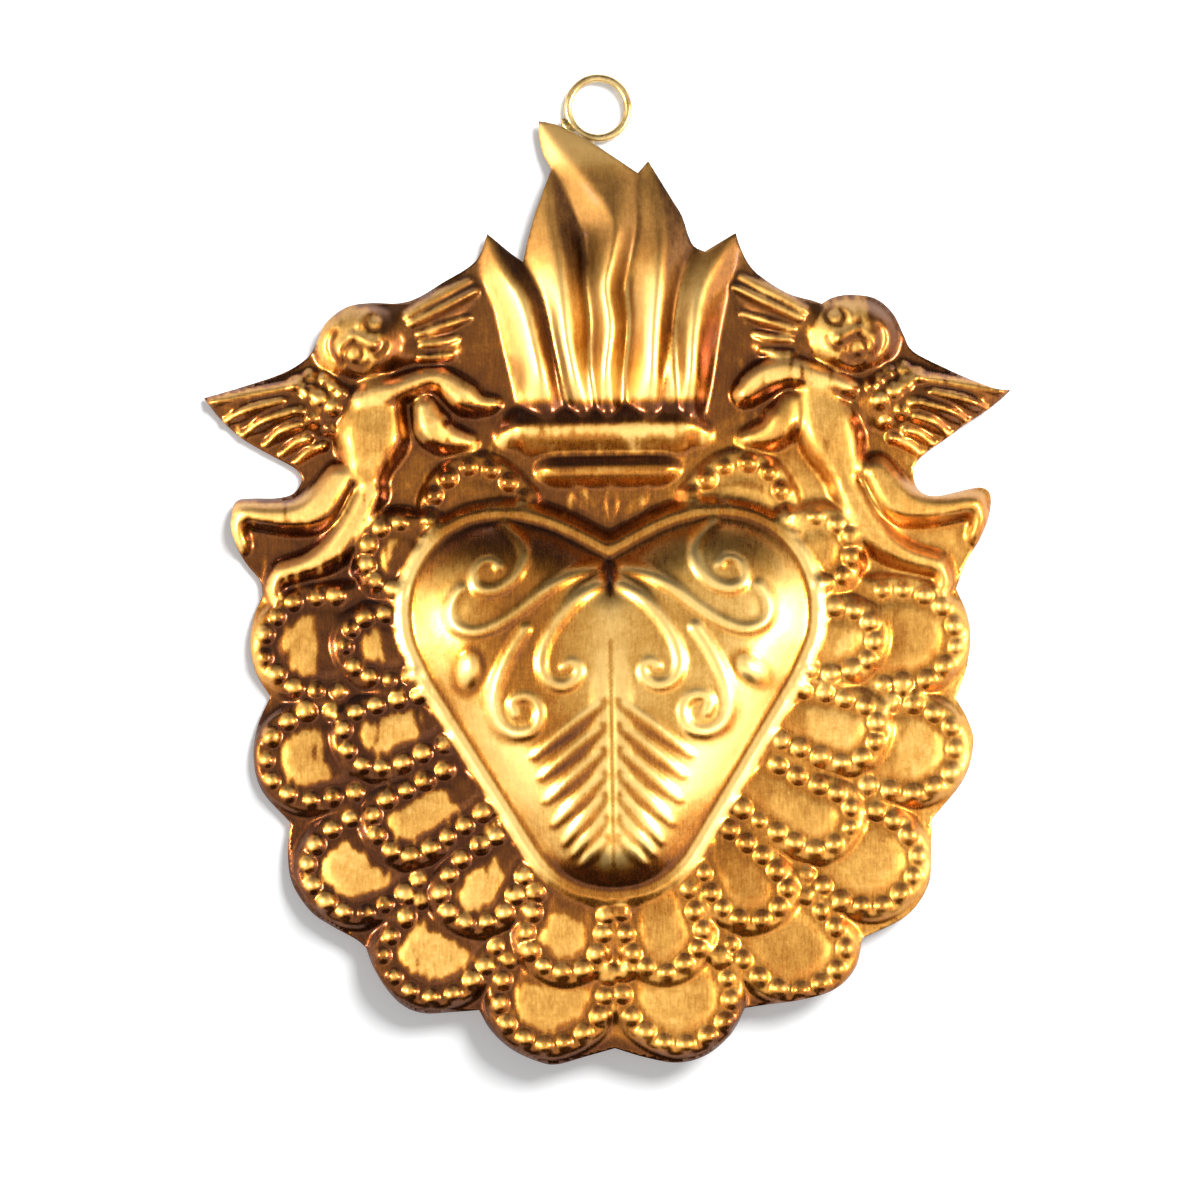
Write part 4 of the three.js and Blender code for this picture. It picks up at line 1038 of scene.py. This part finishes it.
# Colours of the finish, linear, from thick patina to bare brass; towards the flames' tips they turn olive
PATINA_STOPS = [(0.0, (0.072, 0.020, 0.005)), (0.25, (0.195, 0.061, 0.009)), (0.45, (0.40, 0.141, 0.015)),
                (0.65, (0.585, 0.30, 0.060)), (0.82, (0.80, 0.475, 0.137)), (1.0, (0.94, 0.62, 0.200))]
OLIVE_STOPS = [(0.0, (0.045, 0.020, 0.008)), (0.25, (0.15, 0.073, 0.020)), (0.5, (0.27, 0.145, 0.040)),
               (1.0, (0.46, 0.28, 0.095))]
OLIVE_HEIGHTS, OLIVE_SHARE = (-0.034, -0.012), 0.85
UPWARD_GREY_COLOUR = (0.32, 0.25, 0.22)
# Uneven wear: scale, detail, roughness and stretch of each noise, and its share
RAGGED, STROKES = (700, 5, 0.62), (900, 4, 0.6, (4.0, 1.0, 0.6))
SPECKLE, CLOUD = (2600, 4, 0.7), (120, 3, 0.5)
WEAR_SHARES = (0.3, 0.25, 0.3, 0.3)
# Small hollows keep more patina.
HOLLOW, HOLLOW_WEAR = (-0.30, 0.02), -0.1
# Roughness of patina, bare metal and satin metal, and what strokes and height add
PATINA_ROUGH, BARE_ROUGH, SATIN_ROUGH, ROUGH_WEAR = 0.22, 0.44, 0.26, (0.35, 0.75)
STROKE_ROUGH, OLIVE_ROUGH = 0.1, 0.32
RAGGED_BUMP, STROKE_BUMP = (0.00006, 0.35), (0.00003, 0.25)
LACQUER, LACQUER_ROUGH = 0.2, 0.06


def antiqued_brass():
    """Stamped brass: speckled brown patina, worn back to gold on the high places, under thin lacquer; the
    wear it reads also carries painted light and shade.
    """
    material, n, shader, coords = new_material("antiqued_brass", 1.0)
    # The finish attribute carries wear together with painted highlights and painted shade.
    worn_and_lit = n.attribute("finish_and_light")
    grains = [n.noise(coords, *grain) for grain in (RAGGED, STROKES, SPECKLE, CLOUD)]
    for grain, share in zip(grains, WEAR_SHARES):
        worn_and_lit = n.math("ADD", worn_and_lit, n.math("MULTIPLY", n.math("SUBTRACT", grain, 0.5), share))
    worn_and_lit = n.math("ADD", worn_and_lit, n.ramp(n.attribute("proud"), *HOLLOW, HOLLOW_WEAR, 0.0))
    olive = n.ramp(n.axis(coords, "Z"), *OLIVE_HEIGHTS, 0.0, OLIVE_SHARE)
    colour = n.mix(olive, n.spectrum(worn_and_lit, PATINA_STOPS), n.spectrum(worn_and_lit, OLIVE_STOPS))
    n.feed(shader.inputs["Base Color"], n.mix(n.attribute("dust_and_dull_reflection"), colour, UPWARD_GREY_COLOUR))
    ragged, strokes = grains[:2]
    worn_rough = n.ramp(n.attribute("satin"), 0.0, 1.0, BARE_ROUGH, SATIN_ROUGH)
    rough = n.ramp(worn_and_lit, *ROUGH_WEAR, PATINA_ROUGH, worn_rough)
    for field, share in ((strokes, STROKE_ROUGH), (olive, OLIVE_ROUGH)):
        rough = n.math("ADD", rough, n.math("MULTIPLY", field, share))
    n.feed(shader.inputs["Roughness"], rough)
    n.feed(shader.inputs["Normal"], n.bump(strokes, *STROKE_BUMP, n.bump(ragged, *RAGGED_BUMP)))
    n.feed(shader.inputs["Coat Weight"], n.math("MULTIPLY", n.math("SUBTRACT", 1.0, olive), LACQUER))
    shader.inputs["Coat Roughness"].default_value = LACQUER_ROUGH
    return material


# Wire: noises of its film and grain, and the colours, roughness and bump that they vary
WIRE_FILM, WIRE_FILM_FADE, WIRE_GRAIN = (420, 4, 0.6), (0.35, 0.7), (2600, 3, 0.6)
WIRE_BRIGHT, WIRE_BROWN = (0.66, 0.47, 0.19), (0.36, 0.22, 0.07)
GRAIN_FADE, WIRE_ROUGH, WIRE_BUMP = (0.3, 0.7), (0.26, 0.42), (0.00003, 0.3)
WIRE_COAT, WIRE_COAT_ROUGH = 0.3, 0.1


def brass_wire():
    """Drawn wire with a fine grain and a dull brown film in patches."""
    material, n, shader, coords = new_material("brass_wire", 1.0)
    film = n.noise(coords, *WIRE_FILM)
    grain = n.noise(coords, *WIRE_GRAIN)
    n.feed(shader.inputs["Base Color"], n.mix(n.ramp(film, *WIRE_FILM_FADE), WIRE_BRIGHT, WIRE_BROWN))
    n.feed(shader.inputs["Roughness"], n.ramp(grain, *GRAIN_FADE, *WIRE_ROUGH))
    n.feed(shader.inputs["Normal"], n.bump(grain, *WIRE_BUMP))
    shader.inputs["Coat Weight"].default_value = WIRE_COAT
    shader.inputs["Coat Roughness"].default_value = WIRE_COAT_ROUGH
    return material


# Solder: its grain, its colours, and where along x the brass colour gives way to silver
SOLDER_GRAIN, SOLDER_GRAIN_FADE = (1500, 4, 0.6), (0.35, 0.65)
SOLDER_BRIGHT, SOLDER_GREY, SOLDER_BRASS = (0.80, 0.74, 0.64), (0.55, 0.46, 0.33), (0.50, 0.34, 0.12)
SOLDER_TURN, SOLDER_TURN_RAGGED = (-0.0029, -0.0017), 0.0012
SOLDER_ROUGH, SOLDER_BUMP = (0.24, 0.4), (0.0001, 0.4)


def hard_solder():
    """Silvery solder that goes over to brass colour where it climbs the ring."""
    material, n, shader, coords = new_material("hard_solder", 1.0)
    grain = n.noise(coords, *SOLDER_GRAIN)
    silver = n.mix(n.ramp(grain, *SOLDER_GRAIN_FADE), SOLDER_BRIGHT, SOLDER_GREY)
    at = n.math("ADD", n.axis(coords, "X"), n.math("MULTIPLY", grain, SOLDER_TURN_RAGGED))
    n.feed(shader.inputs["Base Color"], n.mix(n.ramp(at, *SOLDER_TURN), SOLDER_BRASS, silver))
    n.feed(shader.inputs["Roughness"], n.ramp(grain, *GRAIN_FADE, *SOLDER_ROUGH))
    n.feed(shader.inputs["Normal"], n.bump(grain, *SOLDER_BUMP))
    return material


# Ring and solder
RING_RADIUS, WIRE_RADIUS = 3.75, 0.5
RING_STEPS, WIRE_STEPS = 120, 20
RING_UNEVEN, RING_WAVES, WIRE_WAVES, WIRE_SHIFT = 0.04, 1.3, 2.1, Vector((5, 0, 0))
SOLDER_FROM, SOLDER_TO = math.radians(196), math.radians(262)
SOLDER_STEPS, SOLDER_SIDES = 36, 20
SOLDER_RADIUS = 4.6
SOLDER_HALF_WIDTH, SOLDER_HALF_DEPTH = 0.7, 0.55
SOLDER_OUT = 0.8
SOLDER_UNEVEN, SOLDER_WAVES, SOLDER_SHIFT = 0.22, 9, 3
SOLDER_SWELL, SOLDER_SWELL_ENDS = 0.55, (0.04, 0.96)


def loft(name, rings, material, closed):
    """A tube through rings of points; open tubes are closed by a fan at each end."""
    count, sides = len(rings), len(rings[0])
    verts = [v for ring in rings for v in ring]
    faces = []
    for i in range(count if closed else count - 1):
        for j in range(sides):
            a, b = i * sides, ((i + 1) % count) * sides
            faces.append((a + j, a + (j + 1) % sides, b + (j + 1) % sides, b + j))
    if not closed:
        for i, order in ((0, -1), (count - 1, 1)):
            ring = rings[i]
            verts.append(sum(ring, Vector()) / sides)
            loop = [i * sides + j for j in range(sides)]
            pairs = zip(loop, loop[1:] + loop[:1])
            faces += [(p, q, len(verts) - 1)[::order] for p, q in pairs]
    return add_mesh(name, verts, faces, material)


def section(out, radius, forward, half_sizes):
    """Points round a tube at one place, with a half-width and a half-depth for each of its sides."""
    points = []
    for j, (wide, deep) in enumerate(half_sizes):
        b = 2 * math.pi * j / len(half_sizes)
        level = Vector((0, deep * math.sin(b) - forward, 0))
        points.append((out * (radius + wide * math.cos(b)) + level) * MM)
    return points


def add_ring(material):
    """The closed ring of slightly uneven wire."""
    rings = []
    for i in range(RING_STEPS):
        a = 2 * math.pi * i / RING_STEPS
        out = Vector((math.cos(a), 0, math.sin(a)))
        radius = RING_RADIUS + RING_UNEVEN * noise.noise(out * RING_WAVES)
        wire = WIRE_RADIUS - RING_UNEVEN * abs(noise.noise(out * WIRE_WAVES + WIRE_SHIFT))
        rings.append(section(out, radius, WIRE_RADIUS, [(wire, wire)] * WIRE_STEPS))
    return loft("ring", rings, material, True)


def add_solder(material):
    """A soft bead of solder that hugs the ring's foot and the flame's cut edge."""
    rings = []
    for i in range(SOLDER_STEPS):
        t = i / (SOLDER_STEPS - 1)
        a = lerp(SOLDER_FROM, SOLDER_TO, t)
        out = Vector((math.cos(a), 0, math.sin(a)))
        swell = math.sin(math.pi * lerp(*SOLDER_SWELL_ENDS, t)) ** SOLDER_SWELL
        half_sizes = []
        for j in range(SOLDER_SIDES):
            b = 2 * math.pi * j / SOLDER_SIDES
            at = out * SOLDER_WAVES + Vector((math.cos(b), math.sin(b), SOLDER_SHIFT))
            size = swell * (1 + SOLDER_UNEVEN * noise.noise(at))
            half_sizes.append((SOLDER_HALF_WIDTH * size, SOLDER_HALF_DEPTH * size))
        rings.append(section(out, SOLDER_RADIUS, SOLDER_OUT, half_sizes))
    return loft("solder", rings, material, False)


sheet = add_sheet(antiqued_brass())
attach(sheet, "root")
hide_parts("pressed_sheet")

ring = add_ring(brass_wire())
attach(ring, "root")
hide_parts("hanging_ring")

solder = add_solder(hard_solder())
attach(solder, "root")
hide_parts("ring_solder")

# Camera, at the photograph's angle
CAMERA_DISTANCE = 0.75
FRAME_WIDTH = 0.150
SENSOR = 36.0
AIM = Vector((-0.625, 0, -61.44)) * MM
ROLL = math.radians(-0.8)

scene = bpy.context.scene
scene.view_settings.view_transform = "Standard"
camera_data = bpy.data.cameras.new("camera")
camera_data.sensor_width = SENSOR
camera_data.lens = SENSOR * CAMERA_DISTANCE / FRAME_WIDTH
camera = bpy.data.objects.new("camera", camera_data)
camera.matrix_world = (Matrix.Translation(AIM + Vector((0, -CAMERA_DISTANCE, 0)))
                       @ Matrix.Rotation(math.pi / 2, 4, "X") @ Matrix.Rotation(ROLL, 4, "Z"))
scene.collection.objects.link(camera)
scene.camera = camera

# Stage: a white wall close behind, which leans back below its bend and can be seen through from its back,
# and a pale floor
WALL_Y, WALL_LEAN, WALL_HALF = 0.0002, 0.10, 0.30
WALL_BEND_Z = -0.085
FLOOR_Z, FLOOR_HALF = -0.32, 0.6
PAPER, PAPER_ROUGH = (0.86, 0.86, 0.86), 0.9
PAPER_GLOW = 0.24
AMBIENT = 0.32


def stage_mesh(name, verts, faces, material, hidden_from):
    """A piece of the stage, hidden from the named kinds of ray."""
    piece = add_mesh(name, verts, faces, material, smooth=False)
    for ray in hidden_from:
        setattr(piece, "visible_" + ray, False)
    return piece


def background_rays(n):
    """1 for the rays that show the background: straight ones, mirrored ones and those through glass."""
    light = n.add("ShaderNodeLightPath")
    seen = n.math("ADD", light.outputs["Is Camera Ray"], light.outputs["Is Glossy Ray"], clamp=True)
    return n.math("ADD", seen, light.outputs["Is Transmission Ray"], clamp=True)


def paper():
    """White paper: it shows white where it is lit, with soft shadows, and is clear from behind."""
    material, n, shader, _ = new_material("paper")
    shader.inputs["Base Color"].default_value = (*PAPER, 1)
    shader.inputs["Roughness"].default_value = PAPER_ROUGH
    shader.inputs["Specular IOR Level"].default_value = 0.0
    shader.inputs["Emission Color"].default_value = (1, 1, 1, 1)
    n.feed(shader.inputs["Emission Strength"], n.math("MULTIPLY", background_rays(n), PAPER_GLOW))
    clear = n.add("ShaderNodeBsdfTransparent")
    side = n.add("ShaderNodeNewGeometry").outputs["Backfacing"]
    both = n.add("ShaderNodeMixShader")
    n.feed(both.inputs[0], side)
    n.feed(both.inputs[1], shader.outputs[0])
    n.feed(both.inputs[2], clear.outputs[0])
    n.feed(material.node_tree.nodes["Material Output"].inputs["Surface"], both.outputs[0])
    return material


# Dark canopy overhead, as bright as the room at its edge, and a dark card below: only the metal shows them
UNSEEN = ("camera", "diffuse", "shadow", "transmission")
CANOPY_RADIUS = 1.0
CANOPY_FROM = math.radians(5)
CANOPY_ROWS, CANOPY_COLUMNS = 16, 48
CANOPY_STOPS = [(0.0, (1.0, 1.0, 1.0)), (0.40, (0.95, 0.95, 0.95)), (0.55, (0.62, 0.62, 0.64)),
                (0.68, (0.26, 0.265, 0.29)), (0.80, (0.13, 0.135, 0.17)), (1.0, (0.11, 0.12, 0.16))]
FLAG_DROP, FLAG_RADIUS, FLAG_SIDES = 0.20, 0.15, 32
FLAG_COLOUR = (0.12, 0.10, 0.09)


def glow_material(name):
    """A material that only glows."""
    material, n, _, coords = new_material(name)
    glow = n.add("ShaderNodeEmission")
    n.feed(material.node_tree.nodes["Material Output"].inputs["Surface"], glow.outputs[0])
    return material, n, glow.inputs["Color"], coords


def canopy_cloth():
    """Cloth whose brightness falls off with its height."""
    material, n, colour, coords = glow_material("canopy")
    height = n.math("DIVIDE", n.math("SUBTRACT", n.axis(coords, "Z"), AIM.z), CANOPY_RADIUS)
    n.feed(colour, n.spectrum(height, CANOPY_STOPS))
    return material


def add_canopy():
    """A dome of cloth over the ornament."""
    verts, faces = [], []
    for i in range(CANOPY_ROWS + 1):
        up = lerp(CANOPY_FROM, math.pi / 2, i / CANOPY_ROWS)
        for j in range(CANOPY_COLUMNS):
            a = 2 * math.pi * j / CANOPY_COLUMNS
            way = Vector((math.cos(a) * math.cos(up), math.sin(a) * math.cos(up), math.sin(up)))
            verts.append(AIM + CANOPY_RADIUS * way)
    for i in range(CANOPY_ROWS):
        for j in range(CANOPY_COLUMNS):
            a, b = i * CANOPY_COLUMNS + j, i * CANOPY_COLUMNS + (j + 1) % CANOPY_COLUMNS
            faces.append((a, b, b + CANOPY_COLUMNS, a + CANOPY_COLUMNS))
    return stage_mesh("canopy", verts, faces, canopy_cloth(), UNSEEN)


def add_flag():
    """A dark round card close under the ornament."""
    material, _, colour, _ = glow_material("flag")
    colour.default_value = (*FLAG_COLOUR, 1)
    angles = [2 * math.pi * k / FLAG_SIDES for k in range(FLAG_SIDES)]
    verts = [AIM + Vector((FLAG_RADIUS * math.cos(a), FLAG_RADIUS * math.sin(a), -FLAG_DROP)) for a in angles]
    return stage_mesh("flag", verts, [tuple(range(FLAG_SIDES))], material, UNSEEN)


white = paper()
w, h = WALL_HALF, AIM.z
wall_rows = [(h - w, WALL_Y + WALL_LEAN * (WALL_BEND_Z - h + w)), (WALL_BEND_Z, WALL_Y), (h + w, WALL_Y)]
corners = [(x, y, z) for z, y in wall_rows for x in (-w, w)]
stage_mesh("wall", corners, [(0, 1, 3, 2), (2, 3, 5, 4)], white, ("diffuse", "shadow"))
f = FLOOR_HALF
corners = [(-f, -f, FLOOR_Z), (f, -f, FLOOR_Z), (f, f, FLOOR_Z), (-f, f, FLOOR_Z)]
stage_mesh("floor", corners, [(0, 1, 2, 3)], white, ("diffuse",))
add_canopy()
add_flag()


# Light: a white room and soft lamps. Each lamp has its place from the aim, its size and its power, and
# lights either the metal (True) or the stage (False).
LAMPS = [
    ("left", (-0.50, -0.36, -0.05), 0.16, 5, True),
    ("left_soft", (-0.75, -0.08, -0.08), 0.5, 2.0, True),
    ("right", (0.50, -0.36, -0.06), 0.18, 5, True),
    ("right_soft", (0.75, -0.10, -0.06), 0.5, 2.5, True),
    ("key", (0.50, -0.60, 0.50), 0.55, 19, False),
]


def room():
    """The room is white to look at, but lights the stage with only a share of that."""
    world = bpy.data.worlds.new("studio")
    scene.world = world
    world.use_nodes = True
    n = Nodes(world.node_tree)
    background = world.node_tree.nodes["Background"]
    background.inputs["Color"].default_value = (1, 1, 1, 1)
    n.feed(background.inputs["Strength"], n.ramp(background_rays(n), 0.0, 1.0, AMBIENT, 1.0))


def add_lamp(name, place_at, size, power, lights_metal):
    """A round lamp, aimed at the ornament, that only mirrored or only diffuse rays see."""
    data = bpy.data.lights.new(name, "AREA")
    data.shape = "DISK"
    data.size = size
    data.energy = power
    lamp = bpy.data.objects.new(name, data)
    lamp.location = AIM + Vector(place_at)
    lamp.rotation_euler = (-Vector(place_at)).to_track_quat("-Z", "Y").to_euler()
    lamp.visible_glossy = lights_metal
    lamp.visible_diffuse = not lights_metal
    scene.collection.objects.link(lamp)


room()
for lamp in LAMPS:
    add_lamp(*lamp)
